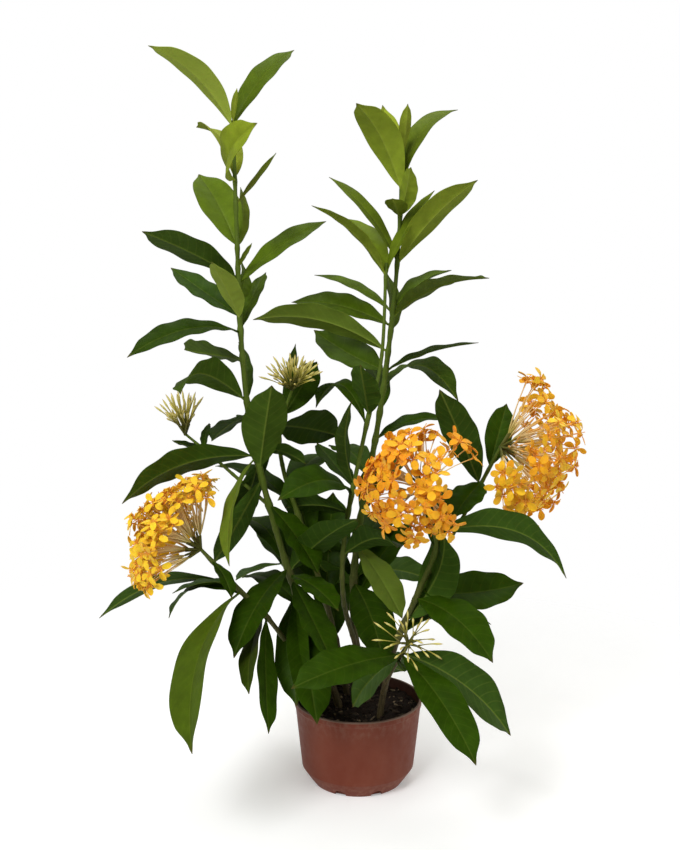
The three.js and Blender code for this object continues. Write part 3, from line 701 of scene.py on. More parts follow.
def pot_material(pot):
    """Moulded polypropylene, terracotta-coloured: a matte skin with faint flow clouds. It reads as flat
    reddish brown, dusty towards the lip and scuffed round the foot."""
    material, tree, shader = new_material(
        "nursery_pot_polypropylene_moulded", IOR=1.49, Specular_IOR_Level=0.25)
    place = add(tree, "TexCoord", out="Object")
    height = add(tree, "SeparateXYZ", [place], "Z")
    flat = add(tree, "VectorMath", [place, (1, 1, 0)], operation="MULTIPLY")
    radius = add(tree, "VectorMath", [flat], "Value", operation="LENGTH")
    dark = add(tree, "MixRGB", [0.12, pot.tint, linear("#5A2617")])
    light = add(tree, "MixRGB", [0.1, pot.tint, linear("#A8705A")])
    clouds = patches(tree, 26, 0, 1, detail=4, stretch=(1, 1, 0.5))
    base = add(tree, "MixRGB", [clouds, dark, light])
    # Dust and dried water marks lie under the lip, whose edge is rubbed pale, and scuffs round the foot.
    spots = add(tree, "MapRange", [grain(tree, 4, 5, (1, 1, 0.6)), 0.45, 0.7, 0, 1])
    top = pot.height
    high = add(tree, "MapRange", [height, top - pot.lip_height - 20 * MM, top, 0, 1], **SOFT)
    base = overlaid(tree, base, linear("#9C8878"), high, spots, 0.2)
    edge = add(tree, "MapRange", [height, top - 1.6 * MM, top - 0.5 * MM, 0, 0.8], **SOFT)
    base = add(tree, "MixRGB", [edge, base, pot.lip_tint])
    low = add(tree, "MapRange", [height, 0, 22 * MM, 1, 0], **SOFT)
    base = overlaid(tree, base, linear("#8F6450"), low, spots, 0.5)
    # Painted shade darkens the inside of the wall just above the soil.
    inner = pot.rim_radius - pot.lip_out - pot.wall
    inside = add(tree, "MapRange", [radius, inner + 0.1 * MM, inner + 0.9 * MM, 1, 0], **SOFT)
    above = add(tree, "MapRange", [height, top - 12 * MM, top - 10 * MM, 0, 0.85])
    base = overlaid(tree, base, linear("#2A1A12"), inside, above)
    roughness = patches(tree, 6, 0.52, 0.7, cut=0.25, detail=4)
    # The mould's spark-eroded texture is about 0.4 mm, and is drawn at 0.9 mm so that it shows.
    feed(tree, shader, base, roughness, grain(tree, 0.9, 2), depth_mm=0.06)
    return material


def soil_material(soil):
    """Moist peat potting mix: loose fibres and crumbs. It reads as near black, rough and lightless."""
    material, tree, shader = new_material("potting_mix_moist_peat", IOR=1.4, Specular_IOR_Level=0.25)
    clods = add(tree, "MapRange", [grain(tree, 3.5, 6, roughness=0.7), 0.35, 0.68, 0, 1])
    base = add(tree, "MixRGB", [clods, soil.peat, linear("#2B1F17")])
    fibres = add(tree, "MapRange", [grain(tree, 1.4), 0.66, 0.74, 0, 0.5])
    base = add(tree, "MixRGB", [fibres, base, linear("#6B5743")])
    roughness = add(tree, "MapRange", [clods, 0, 1, 0.8, 0.98])
    feed(tree, shader, base, roughness, grain(tree, 2, 6, roughness=0.75), depth_mm=1.6)
    return material


def bark_material(soil):
    """Chipped pine bark and straw: split along the grain and dried. It reads as brown flakes, a few
    of them bleached."""
    material, tree, shader = new_material("potting_mix_pine_bark", IOR=1.45, Specular_IOR_Level=0.3)
    *_, luck, pale = place_and_kind(tree)
    fibre = patches(tree, 1.6, 0, 1, detail=4, stretch=(0.25, 1, 1))
    brown = add(tree, "MixRGB", [fibre, linear("#1B120C"), soil.bark])
    base = add(tree, "MixRGB", [pale, brown, soil.pale_bark])
    base = overlaid(tree, base, linear("#1B130D"), luck, 0.5)
    roughness = add(tree, "MapRange", [fibre, 0, 1, 0.7, 0.92])
    feed(tree, shader, base, roughness, fibre, depth_mm=0.5)
    return material


def floor_material(stage):
    """Studio floor: painted matte board. It fades out to the pale backdrop around it."""
    material, tree, shader = new_material(
        "studio_floor_matte", Specular_IOR_Level=0.1, Roughness=0.9, Base_Color=(*stage.floor, 1),
        Emission_Color=(*stage.floor, 1), Emission_Strength=0.22)
    place = add(tree, "TexCoord", out="Object")
    away = add(tree, "VectorMath", [place], "Value", operation="LENGTH")
    full, gone = 0.07 * stage.floor_radius, 0.36 * stage.floor_radius
    alpha = add(tree, "MapRange", [away, full, gone, 1, 0], **SOFT)
    tree.links.new(alpha, shader.inputs["Alpha"])
    return material


# Geometry, in millimetres.


class Skin:
    """Gathers lofted forms, in millimetres, into one mesh in metres. Every point carries a place on
    its form and its form's kind, three numbers each, for the materials to read."""

    def __init__(self):
        self.points, self.faces, self.slots, self.places, self.kinds = [], [], [], [], []
        self.total = 0

    def loft(self, rings, slots=0, place=(0, 0, 0), kind=(0, 0, 0)):
        """Skins rings of points that run counterclockwise about the way they advance, and caps both
        ends. slots is the material's index, or one for each side of a ring."""
        rings = np.asarray(rings, float)
        rows, sides = rings.shape[:2]
        index = self.total + np.arange(rows * sides).reshape(rows, sides)
        after = np.roll(index, -1, axis=1)
        quads = np.stack([index[:-1], after[:-1], after[1:], index[1:]], axis=-1)
        each = np.broadcast_to(slots, sides)
        self.faces.extend(quads.reshape(-1, 4).tolist())
        self.slots.extend(np.tile(each, rows - 1).tolist())
        self.faces.extend([index[0][::-1].tolist(), index[-1].tolist()])
        self.slots.extend([int(each[0])] * 2)
        self.points.append(rings.reshape(-1, 3))
        self.places.append(np.broadcast_to(place, rings.shape).reshape(-1, 3))
        self.kinds.append(np.broadcast_to(kind, rings.shape).reshape(-1, 3))
        self.total += rows * sides

    def made(self, name, materials, node, sharp=60):
        """The mesh as a piece that replaces a CAD node. Edges over sharp degrees stay crisp."""
        mesh = bpy.data.meshes.new(name)
        mesh.from_pydata((np.concatenate(self.points) * MM).tolist(), [], self.faces)
        for title, values in (("place", self.places), ("kind", self.kinds)):
            attribute = mesh.attributes.new(title, "FLOAT_VECTOR", "POINT")
            attribute.data.foreach_set("vector", np.concatenate(values).astype(np.float32).ravel())
        for material in materials:
            mesh.materials.append(material)
        mesh.polygons.foreach_set("material_index", self.slots)
        mesh.polygons.foreach_set("use_smooth", [True] * len(mesh.polygons))
        mesh.set_sharp_from_angle(angle=math.radians(sharp))
        mesh.update()
        piece = bpy.data.objects.new(name, mesh)
        bpy.context.scene.collection.objects.link(piece)
        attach(piece, "root")
        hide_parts(node)
        return piece


def at(path, t):
    """The point of a smooth curve through the path's points, from 0 at its first to 1 at its last."""
    points = np.asarray(path, float)
    ends = [2 * points[0] - points[1], *points, 2 * points[-1] - points[-2]]
    place = min(max(t, 0.0), 1.0) * (len(points) - 1)
    i = min(int(place), len(points) - 2)
    w = place - i
    a, b, c, d = ends[i:i + 4]
    slope_b, slope_c = (c - a) / 2, (d - b) / 2
    return (b + slope_b * w + (3 * (c - b) - 2 * slope_b - slope_c) * w ** 2
            + (2 * (b - c) + slope_b + slope_c) * w ** 3)


def at_height(path, height):
    """The point at which a path, which rises all the way, reaches a height."""
    low, high = 0.0, 1.0
    for _ in range(30):
        middle = (low + high) / 2
        if at(path, middle)[2] < height:
            low = middle
        else:
            high = middle
    return at(path, low)


def unit(vector):
    return vector / np.linalg.norm(vector)


def round_turns(sides):
    """The angles of the corners of a ring."""
    return 2 * np.pi * np.arange(sides) / sides


def tube(skin, line, radii, sides, slot=0, kind=(0, 0, 0), along=(0, 1)):
    """A round tube along a line of points, with a radius at each. along is the place at its two ends."""
    line = np.asarray(line, float)
    steps = np.gradient(line, axis=0)
    steps /= np.linalg.norm(steps, axis=1)[:, None]
    # The first corner starts on the X side, or on the Y side of a tube that itself runs along X.
    first = np.array([1.0, 0, 0]) if abs(steps[0][0]) < 0.8 else np.array([0, 1.0, 0])
    turns = round_turns(sides)
    rings, places = [], []
    for centre, step, radius, place in zip(line, steps, radii, np.linspace(*along, len(line))):
        first = unit(first - step * np.dot(first, step))
        second = np.cross(step, first)
        spokes = np.outer(np.cos(turns), first) + np.outer(np.sin(turns), second)
        rings.append(centre + radius * spokes)
        places.append([(place, 0, 0)] * sides)
    skin.loft(rings, slot, places, kind)


STEM_RING = 3.5  # length of stem between two rings
STEM_SIDES = 14
SWELLING_REACH = 4.5  # how far above and below its leaves a stem is thicker
SCARLESS = 0.93  # share of the rings with no scar of a fallen bract round them
SCAR_HEIGHT = 0.12  # as a share of the stem's radius


def stem(skin, shoot, swelling, slot):
    """A tapered stem, thicker at each pair of leaves, with the scars of fallen bracts round it."""
    path = shoot["path"]
    count = max(6, round(np.linalg.norm(np.diff(path, axis=0), axis=1).sum() / STEM_RING))
    t = np.linspace(0, 1, count + 1)
    line = np.array([at(path, place) for place in t])
    thick, thin = shoot["radius"]
    radii = thick + (thin - thick) * t
    heights = np.array([row[0] for row in shoot["leaves"]])
    near = np.exp(-((line[:, 2:3] - heights[None]) / SWELLING_REACH) ** 2).max(axis=1)
    scars = np.array([chance(i, 41) > SCARLESS for i in range(count + 1)])
    # Cut ends stay at their own radius, so that they fit the pieces they run into.
    ease = smoothstep(t, 0, 0.04) * (1 - smoothstep(t, 0.97, 1))
    radii = radii * (1 + ease * (swelling * near + SCAR_HEIGHT * scars))
    tube(skin, line, radii, STEM_SIDES, slot, (0, chance(count, 7), 0))


LEAF_STATIONS = 44
SMALL_LEAF = 50  # a leaf shorter than this has half as many stations
# Places across a blade, from one edge, at 1, over the midrib, at 0, to the other.
HALF_ACROSS = [1, 0.88, 0.72, 0.55, 0.36, 0.18, 0.06]
ACROSS = np.array([*HALF_ACROSS, 0, *(-v for v in reversed(HALF_ACROSS))])
OLD_BELOW, YOUNG_ABOVE = 300, 620  # heights between which leaves turn from old to young
PETIOLE_HALF_WIDTH = 1.0
TIP_HALF_WIDTH = 0.12
MOST_TWIST = 9  # degrees that a blade may turn about its midrib over its length
VEIN_SWEEP = 0.13  # how far forward a side vein ends, as a share of the leaf's length
FULL_WIDTH = 34  # width from which a leaf's edge ripples in full
GROOVE_DEPTH, GROOVE_HALF_WIDTH = 0.3, 0.8  # along the midrib, on top
KEEL_DEPTH, KEEL_HALF_WIDTH = 0.55, 0.9  # along the midrib, underneath


def half_width(s):
    """Half the width of a blade of width 1 at fraction s of its length."""
    t = np.clip((s - 0.04) / 0.96, 0, 1)
    return 0.5 * np.sin(np.pi * t ** 1.1) ** 0.65 * (1 - 0.55 * smoothstep(s, 0.85, 0.98))


def both_sides(upper, lower):
    """Rings that run over the upper side of a blade and back along its lower side."""
    return np.concatenate([upper, lower[:, ::-1]], axis=1)


def leaf(skin, name, row, number, look):
    """One leaf of a shoot: a round stalk that opens into a folded, arched blade with sunk veins, a
    quilted surface between them, rippled edges and a drawn-out tip."""
    height, azimuth, rise, reach, width, arch, roll = row
    base = at_height(SHOOTS[name]["path"], height)
    turn, lift = math.radians(azimuth), math.radians(rise)
    chord = Vector((math.cos(lift) * math.cos(turn), math.cos(lift) * math.sin(turn), math.sin(lift)))
    level = Vector((-math.sin(turn), math.cos(turn), 0))
    side = np.array(Quaternion(chord, math.radians(roll)) @ level)
    chord = np.array(chord)
    up = np.cross(chord, side)

    age = 1 - smoothstep(height + spread_about(0, 25, number, 55), OLD_BELOW, YOUNG_ABOVE)
    # The second number pales a leaf above 0 and browns it below 0. On a few leaves the paling is painted
    # sheen.
    age, wear_and_sheen = ODD_LEAVES.get((name, height, azimuth), (float(age), 0))
    s = np.linspace(0, 1, LEAF_STATIONS if reach > SMALL_LEAF else LEAF_STATIONS // 2)[:, None]
    midrib = base + chord * reach * s + up * 4 * arch * s * (1 - s)
    forward = chord * reach + up * 4 * arch * (1 - 2 * s)
    forward /= np.linalg.norm(forward, axis=1)[:, None]
    face = np.cross(forward, side)
    # The blade turns a little about its midrib from stalk to tip.
    twist = math.radians(spread_about(0, MOST_TWIST, number, 51)) * (s - 0.3) * smoothstep(s, 0.02, 0.3)
    sideways = side * np.cos(twist) + face * np.sin(twist)
    face = face * np.cos(twist) - side * np.sin(twist)

    narrowest = np.where(s < 0.5, min(width / 6, PETIOLE_HALF_WIDTH), TIP_HALF_WIDTH)
    edge = np.maximum(width * half_width(s), narrowest)
    v = ACROSS[None, :]
    out = np.abs(v)
    x = edge * v
    blade = smoothstep(s, 0.05, 0.14) * np.minimum(1, edge / 4)
    stalk = 1 - smoothstep(s, 0.03, 0.1)
    veins = reach / (look.vein_spacing / MM)
    phase = veins * (s - VEIN_SWEEP * out ** 1.3) + 0.37
    inside = np.sin(np.pi * np.clip(out, 0, 1)) ** 0.6
    quilt = look.quilting / MM * (np.abs(np.sin(np.pi * phase)) ** 0.6 - 0.5) * inside
    # An old, wide leaf ripples most, in two and a half to four and a half waves.
    waves = 2.5 + 2 * chance(number, 52)
    start = 2 * np.pi * chance(number, 53)
    crest = look.ripple / MM * min(1, width / FULL_WIDTH)
    crest *= 0.15 + 0.3 * chance(number, 54) + 0.6 * age
    ripple = crest * out ** 2.5 * np.sin(2 * np.pi * waves * s + start + 1.4 * np.sign(v))
    ripple = ripple * np.sin(np.pi * s) ** 0.5
    fold = look.fold + 0.1 * (1 - age)
    rest = fold * np.abs(x) * (1 + 0.3 * (1 - out)) + blade * (quilt + ripple)
    groove = GROOVE_DEPTH * blade * np.exp(-(x / GROOVE_HALF_WIDTH) ** 2)
    keel = (KEEL_DEPTH * blade + 0.5 * stalk) * np.exp(-(x / KEEL_HALF_WIDTH) ** 2)
    half = look.thickness / MM / 2 * (1 - 0.35 * out ** 4) + 0.6 * stalk * (1 - 0.5 * out)

    def surface(over):
        return midrib[:, None] + sideways[:, None] * x[..., None] + face[:, None] * over[..., None]

    rings = both_sides(surface(rest + half - groove), surface(rest - half - keel))
    place = np.stack(np.broadcast_arrays(x, phase, s), axis=-1)
    slots = [0] * len(ACROSS) + [1] * len(ACROSS)
    slots[len(ACROSS) - 1] = slots[-1] = 0
    skin.loft(rings, slots, both_sides(place, place), (age, chance(number, 56), wear_and_sheen))


def leafy_stem(plant, materials, leaf_look, stem_look):
    """All the shoots of one cutting, with their leaves, in one piece."""
    skin = Skin()
    for place, (name, shoot) in enumerate(SHOOTS.items()):
        if shoot["plant"] == plant:
            stem(skin, shoot, stem_look.node_swelling, 2)
            for i, row in enumerate(shoot["leaves"]):
                leaf(skin, name, row, i + 40 * place, leaf_look)
    skin.made(f"foliage_{plant}", materials, f"leafy_stem_{plant}", 50)


def turn_to(direction):
    return UP.rotation_difference(Vector(direction))


def within(direction, cone):
    """Whether a direction lies in a cone, given by its middle and its half angle in degrees."""
    return cone is not None and direction.angle(Vector(cone[0])) < math.radians(cone[1])


def fan(head, count, series):
    """Directions spread evenly over a cap about the way a head faces, with a slight scatter."""
    aim = turn_to(Vector(head["facing"]).normalized())
    found = []
    for i in range(count):
        fall = 1 - (1 - math.cos(math.radians(head["spread"]))) * (i + 0.35) / count
        tilt = math.acos(fall) + 0.08 * (chance(i, series) - 0.5)
        turn = i * GOLDEN_ANGLE + 0.2 * (chance(i, series + 1) - 0.5)
        outward = math.sin(tilt)
        local = Vector((outward * math.cos(turn), outward * math.sin(turn), math.cos(tilt)))
        direction = aim @ local
        if not within(direction, head.get("bare")):
            found.append(direction)
    return found


def hub_of(head):
    return Vector(SHOOTS[head["shoot"]]["path"][-1])


def branches(skin, head, slot):
    """The short green branches that the florets' stalks grow from. Returns the direction of each, its
    end, and how far its florets reach as a share of the head's reach."""
    hub = hub_of(head)
    found = []
    for i, direction in enumerate(fan(head, 7 + head["count"] // 10, head["series"] + 40)):
        end = hub + direction * head["reach"] * (0.2 + 0.06 * chance(i, 61))
        line = [hub - direction, hub.lerp(end, 0.5), end]
        tube(skin, line, [1.5, 1.2, 1.0], 6, slot, along=(0, 0.1))
        found.append((direction, end, 0.94 + 0.12 * chance(i, 68)))
    return found


def nearest(found, direction):
    return max(found, key=lambda branch: branch[0].dot(direction))


def bend(start, end, swell, count):
    """A line from start to end that bows towards swell."""
    return [start.lerp(end, t) + swell * math.sin(math.pi * t) for t in np.linspace(0, 1, count)]


PETAL_ROWS = np.array([0.0, 0.1, 0.22, 0.38, 0.55, 0.7, 0.84, 0.94, 1.0])[:, None]
PETAL_ACROSS = np.array([1, 0.6, 0, -0.6, -1])
THROAT_RADIUS = 0.9
ROUNDED_FROM = 0.6  # where a petal's rounded end starts, as a share of its length


def petal(skin, placed, look, spin, i, k, kind, slot):
    """One rounded petal that rises out of the throat and bends back towards its tip."""
    t = PETAL_ROWS
    size = 0.9 + 0.16 * chance(i, k + 3)
    reach = look.petal_length / MM * size
    rounded_end = np.clip(t - ROUNDED_FROM, 0, 1) / (1 - ROUNDED_FROM)
    half = look.petal_width / MM / 2 * size * (0.8 + 0.25 * kind[0])
    half = half * (0.24 + 0.76 * smoothstep(t, 0, ROUNDED_FROM))
    half = half * np.sqrt(np.clip(1 - rounded_end ** 2, 0.012, 1))
    curl = spread_about(-1.6, 3.2, i, k + 1)
    out = THROAT_RADIUS + (reach - THROAT_RADIUS) * t
    rise = look.cup / MM * (smoothstep(t, -0.1, 0.32) - 1) + curl * t ** 2
    v = PETAL_ACROSS[None, :]
    x = half * v + 0.7 * math.sin(6 * chance(i, k)) * t ** 2
    thick = look.petal_thickness / MM / 2
    trough = 0.09 * half * v ** 2 + spread_about(0, 0.5, i, k + 2) * t * v

    def surface(over):
        return np.stack(np.broadcast_arrays(out, x, rise + trough + over), axis=-1)

    cos, sin = math.cos(spin), math.sin(spin)
    turned = both_sides(surface(thick), surface(-thick)) @ [[cos, sin, 0], [-sin, cos, 0], [0, 0, 1]]
    place = np.stack(np.broadcast_arrays(t, x, 0.0), axis=-1)
    skin.loft(placed(turned), slot, both_sides(place, place), kind)


# Radii from the ovary to the mouth or tip, as shares of the tube's or the bud's own.
TUBE_PROFILE = np.array([0.9, 1.6, 1.5, 0.95, 0.9, 0.95, 1.1, 1.7])
BUD_PROFILE = np.array([0.4, 0.75, 0.42, 0.4, 0.42, 0.5, 0.7, 1.0, 0.85, 0.12])
# A style's line, from inside the throat to its tip, and its radii.
STYLE = np.array([[0, 0, -1.6], [0, 0, 1.0], [0.2, 0.1, 2.6], [0.3, 0.1, 3.6]])
STYLE_RADII = [0.28, 0.28, 0.42, 0.1]
ANTHER_RADII = [0.25, 0.42, 0.42, 0.1]


def floret(skin, base, mouth, axis, i, head, look):
    """One floret: an ovary, a long thin tube, four petals, four anthers and a style."""
    kind = (head["ripe"], chance(i, head["series"] + 9), 0)
    bow = Vector([spread_about(middle, reach, i, k) for middle, reach, k in (
        (0, 1.6, 62), (0, 1.6, 63), (0.6, 1.2, 64))])
    line = bend(base, mouth - axis * look.cup / MM, bow, len(TUBE_PROFILE))
    radii = look.tube_radius / MM * TUBE_PROFILE
    tube(skin, line, radii, 6, 1, (0, kind[1], 0), (0.12, 0.95))

    spun = turn_to(axis) @ Quaternion(UP, math.pi * chance(i, head["series"] + 3))
    turn, centre = np.array(spun.to_matrix()), np.array(mouth)

    def placed(points):
        return points @ turn.T + centre

    for corner in range(4):
        spin = corner * math.pi / 2 + spread_about(0, 0.12, 4 * i + corner, 65)
        petal(skin, placed, look, spin, 4 * i + corner, head["series"] + 20, kind, 0)
        # Anthers lie in the gaps between the petals.
        angle = spin + math.pi / 4
        way = np.array([math.cos(angle), math.sin(angle), 0])
        line = [way * 0.8 - [0, 0, 1.2], way * 1.9, way * 3.2 + [0, 0, 0.3], way * 4.2]
        anther = placed(np.array(line))
        tube(skin, anther, ANTHER_RADII, 4, 1, (0, 0.2, 0), (0.9, 1))
    tube(skin, placed(STYLE), STYLE_RADII, 4, 1, (0, 0.4, 0), (0.85, 1))


def closed_floret(skin, base, end, look, luck, slot):
    """An unopened bud: a slender stalk and tube that ends in a pointed club."""
    bow = Vector((2.4 * luck - 1.2, 1.0 - 2 * luck, 0.8))
    radii = look.bud_radius / MM * BUD_PROFILE
    tube(skin, bend(base, end, bow, len(BUD_PROFILE)), radii, 7, slot, (0, luck, 0))


def flower_head(side, head, materials, look):
    """A domed head of florets on thin tubes, in one piece."""
    skin = Skin()
    hub, series = hub_of(head), head["series"]
    found = branches(skin, head, 2)
    for i, direction in enumerate(fan(head, head["count"], series)):
        stalk, start, length_share = nearest(found, direction)
        # Florets crowd towards the middle of their own branch, and each branch has its own length.
        direction = direction.lerp(stalk, 0.28).normalized()
        reach = head["reach"] * length_share * (1 - 0.27 * chance(i, series + 2) ** 2)
        if within(direction, head.get("closed")):
            closed_floret(skin, start, hub + direction * reach * 0.8, look, chance(i, 66), 1)
            continue
        lean = Vector([spread_about(0, 0.6, i, series + k) for k in (5, 6, 7)])
        floret(skin, start, hub + direction * reach, (direction + lean).normalized(), i, head, look)
    skin.made(f"flower_head_{side}", materials, f"bloom_{side}")


def bud_cluster(side, head, materials, look):
    """A tuft of unopened buds, in one piece."""
    skin = Skin()
    hub, series = hub_of(head), head["series"]
    found = branches(skin, head, 0)
    for i, direction in enumerate(fan(head, head["count"], series)):
        reach = head["reach"] * (0.55 + 0.45 * chance(i, series + 2))
        start = nearest(found, direction)[1]
        closed_floret(skin, start, hub + direction * reach, look, chance(i, 67), 0)
    skin.made(f"bud_tuft_{side}", materials, f"buds_{side}")


CENTRE = 0.05  # radius of the tiny ring that closes a turned form on its axis
MOST_STEP = 9  # most distance between two rings of a turned form


def rounded(profile, radius, steps=4):
    """A profile of (radius, height) points with its corners rounded off. Its two ends stay."""
    found = [profile[0]]
    for before, corner, after in zip(profile, profile[1:], profile[2:]):
        before, corner, after = (np.array(p, float) for p in (before, corner, after))
        cut = min(radius, np.linalg.norm(before - corner) / 2.2, np.linalg.norm(after - corner) / 2.2)
        start = corner + cut * unit(before - corner)
        end = corner + cut * unit(after - corner)
        for t in np.linspace(0, 1, steps):
            found.append((1 - t) ** 2 * start + 2 * t * (1 - t) * corner + t ** 2 * end)
    return [tuple(map(float, p)) for p in [*found, profile[-1]]]


def turned_rings(profile, sides):
    """Rings about the Z axis from a profile of (radius, height) points, none far from the next."""
    points = [profile[0]]
    for before, after in zip(profile, profile[1:]):
        count = max(1, math.ceil(math.dist(before, after) / MOST_STEP))
        for step in range(1, count + 1):
            points.append(tuple(b + (a - b) * step / count for b, a in zip(before, after)))
    turns = round_turns(sides)
    return [np.stack(np.broadcast_arrays(radius * np.cos(turns), radius * np.sin(turns), height), axis=-1)
            for radius, height in points]


POT_SIDES = 144
CORNER_RADIUS = 0.7
CRISP = 35  # degrees over which an edge of the pot stays crisp
CUTTER_LENGTH, CUTTER_PLACE = 30, 55  # of the round bars that cut the notches, along a radius


def make_pot(pot, material):
    """A turned, thin-walled pot with a rolled lip, a stepped foot and drain notches cut round it."""
    rim, top, wall = pot.rim_radius / MM, pot.height / MM, pot.wall / MM
    foot, shoulder, step = pot.foot_radius / MM, pot.shoulder_radius / MM, pot.shoulder_height / MM
    lip, out, floor = pot.lip_height / MM, pot.lip_out / MM, pot.floor / MM
    profile = [
        (CENTRE, 0), (foot, 0), (shoulder, step), (rim - out, top - lip), (rim, top - lip + out),
        (rim, top), (rim - out - wall, top), (shoulder - wall, step), (foot - wall, floor),
        (CENTRE, floor),
    ]
    skin = Skin()
    skin.loft(turned_rings(rounded(profile, CORNER_RADIUS), POT_SIDES))
    piece = skin.made("nursery_pot", [material], "pot", CRISP)
    cutters = []
    for i in range(pot.notches):
        bpy.ops.mesh.primitive_cylinder_add(vertices=32, radius=0.5, depth=1)
        cutter = bpy.context.object
        angle = (i + 0.5) * 2 * math.pi / pot.notches
        cutter.scale = (2 * pot.notch_height, pot.notch_width, CUTTER_LENGTH * MM)
        cutter.rotation_euler = (0, math.pi / 2, angle)
        cutter.location = (CUTTER_PLACE * MM * math.cos(angle), CUTTER_PLACE * MM * math.sin(angle), 0)
        cutters.append(cutter)
        modifier = piece.modifiers.new("notch", "BOOLEAN")
        modifier.object = cutter
        modifier.solver = "EXACT"
    bpy.context.view_layer.update()
    evaluated = piece.evaluated_get(bpy.context.evaluated_depsgraph_get())
    carved = bpy.data.meshes.new_from_object(evaluated)
    piece.modifiers.clear()
    piece.data = carved
    carved.set_sharp_from_angle(angle=math.radians(CRISP))
    for cutter in cutters:
        bpy.data.objects.remove(cutter)


SOIL_SIDES = 120
SOIL_RINGS = 44
SOIL_GAP = 0.3  # to the pot
CHIP_MARGIN, CRUMB_MARGIN = 6, 1.5  # how far inside the edge of the soil they lie


def soil_height(x, y, soil):
    """Height of the soil's surface: broad lumps with crumbs on them."""
    swell = math.sin(x * 0.16 + 1) * math.cos(y * 0.19) + 0.5 * math.sin(x * 0.43 - y * 0.37)
    crumbs = noise.fractal(Vector((x / 6, y / 6, 3.1)), 1.0, 2.1, 4)
    return soil.level / MM + soil.bump / MM * swell + 1.1 * crumbs


def bit(skin, place, size, turn, i, slot, kind):
    """A rough four-sided flake with bevelled ends."""
    rings = []
    for along, thin in ((-0.5, 0.45), (-0.34, 0.95), (0.1, 1.0), (0.38, 0.85), (0.5, 0.35)):
        ring = []
        for corner, (a, b) in enumerate(((1, 1), (-1, 1), (-1, -1), (1, -1))):
            wobble = 0.75 + 0.5 * chance(7 * i + corner, along * 10)
            local = Vector((
                along * size[0], a * size[1] / 2 * thin * wobble, b * size[2] / 2 * thin * wobble))
            ring.append(turn @ local + place)
        rings.append(ring)
    skin.loft(rings, slot, kind=kind)


def make_soil(soil, pot, peat, bark):
    """The potting mix that fills the pot, with bark bits and crumbs lying on it."""
    wall, level = pot.wall / MM, soil.level / MM
    inner_top = (pot.rim_radius - pot.lip_out) / MM - wall
    inner_shoulder, step = pot.shoulder_radius / MM - wall, pot.shoulder_height / MM
    slope = (inner_top - inner_shoulder) / (pot.height / MM - step)
    top_radius = inner_shoulder + slope * (level - step) - SOIL_GAP
    floor, foot = pot.floor / MM + SOIL_GAP, pot.foot_radius / MM - wall - SOIL_GAP
    body = [(CENTRE, floor), (foot, floor), (inner_shoulder - SOIL_GAP, step), (top_radius, level - 0.6)]
    rings = turned_rings(body, SOIL_SIDES)
    for radius in np.linspace(top_radius, CENTRE, SOIL_RINGS):
        # The surface has settled a little at its edge.
        settled = 0.6 * (radius / top_radius) ** 6
        ring = []
        for turn in round_turns(SOIL_SIDES):
            x, y = radius * math.cos(turn), radius * math.sin(turn)
            ring.append((x, y, soil_height(x, y, soil) - settled))
        rings.append(ring)
    skin = Skin()
    skin.loft(rings)
    for i in range(soil.chips + soil.crumbs):
        chip = i < soil.chips
        radius = (top_radius - (CHIP_MARGIN if chip else CRUMB_MARGIN)) * math.sqrt(chance(i, 71))
        turn = i * GOLDEN_ANGLE
        x, y = radius * math.cos(turn), radius * math.sin(turn)
        if chip:
            size = (3 + 9 * chance(i, 72) ** 2, 1 + 3 * chance(i, 73) ** 2, 0.7 + 1.2 * chance(i, 74))
        else:
            size = [0.8 + 1.8 * chance(i, k) ** 2 for k in (72, 73, 74)]
        tilts = spread_about(0, 0.6, i, 75), spread_about(0, 0.35, i, 76)
        spin = Euler((*tilts, 6.28 * chance(i, 77))).to_quaternion()
        place = Vector((x, y, soil_height(x, y, soil) + 0.3 * size[2]))
        pale = 0.85 if chance(i, 78) > 0.86 else 0.12 * chance(i, 79)
        bit(skin, place, size, spin, i, 1 if chip or pale > 0.5 else 0, (0, chance(i, 80), pale))
    skin.made("potting_mix", [peat, bark], "soil", 40)


# Operators.


class IXORA_OT_pot(bpy.types.Operator):
    """Turns the nursery pot and cuts its drain notches"""

    bl_idname = "ixora.pot"
    bl_label = "Pot"

    def execute(self, context):
        pot = context.scene.ixora_pot
        make_pot(pot, pot_material(pot))
        return {"FINISHED"}


class IXORA_OT_soil(bpy.types.Operator):
    """Fills the pot with soil, bark bits and crumbs"""

    bl_idname = "ixora.soil"
    bl_label = "Soil"

    def execute(self, context):
        soil = context.scene.ixora_soil
        make_soil(soil, context.scene.ixora_pot, soil_material(soil), bark_material(soil))
        return {"FINISHED"}


class IXORA_OT_foliage(bpy.types.Operator):
    """Grows the four leafy cuttings"""

    bl_idname = "ixora.foliage"
    bl_label = "Leafy stems"

    def execute(self, context):
        look, stem_look = context.scene.ixora_leaf, context.scene.ixora_stem
        materials = [upper_leaf_material(look), under_leaf_material(look), stem_material(stem_look)]
        for plant in ("left", "right", "front", "back"):
            leafy_stem(plant, materials, look, stem_look)
        return {"FINISHED"}


class IXORA_OT_flowers(bpy.types.Operator):
    """Opens the three flower heads"""

    bl_idname = "ixora.flowers"
    bl_label = "Flower heads"

    def execute(self, context):
        look = context.scene.ixora_flower
        materials = [petal_material(look), tube_material(look), bud_material(look)]
        for side, head in BLOOMS.items():
            flower_head(side, head, materials, look)
        return {"FINISHED"}


class IXORA_OT_buds(bpy.types.Operator):
    """Sets the three tufts of unopened buds"""

    bl_idname = "ixora.buds"
    bl_label = "Bud tufts"

    def execute(self, context):
        look = context.scene.ixora_flower
        materials = [bud_material(look)]
        for side, head in BUD_CLUSTERS.items():
            bud_cluster(side, head, materials, look)
        return {"FINISHED"}


FRAME_PIXELS = 850  # height of the camera's frame
SENSOR_HEIGHT = 36
PLANT_MIDDLE = Vector((0, 0, 0.33))


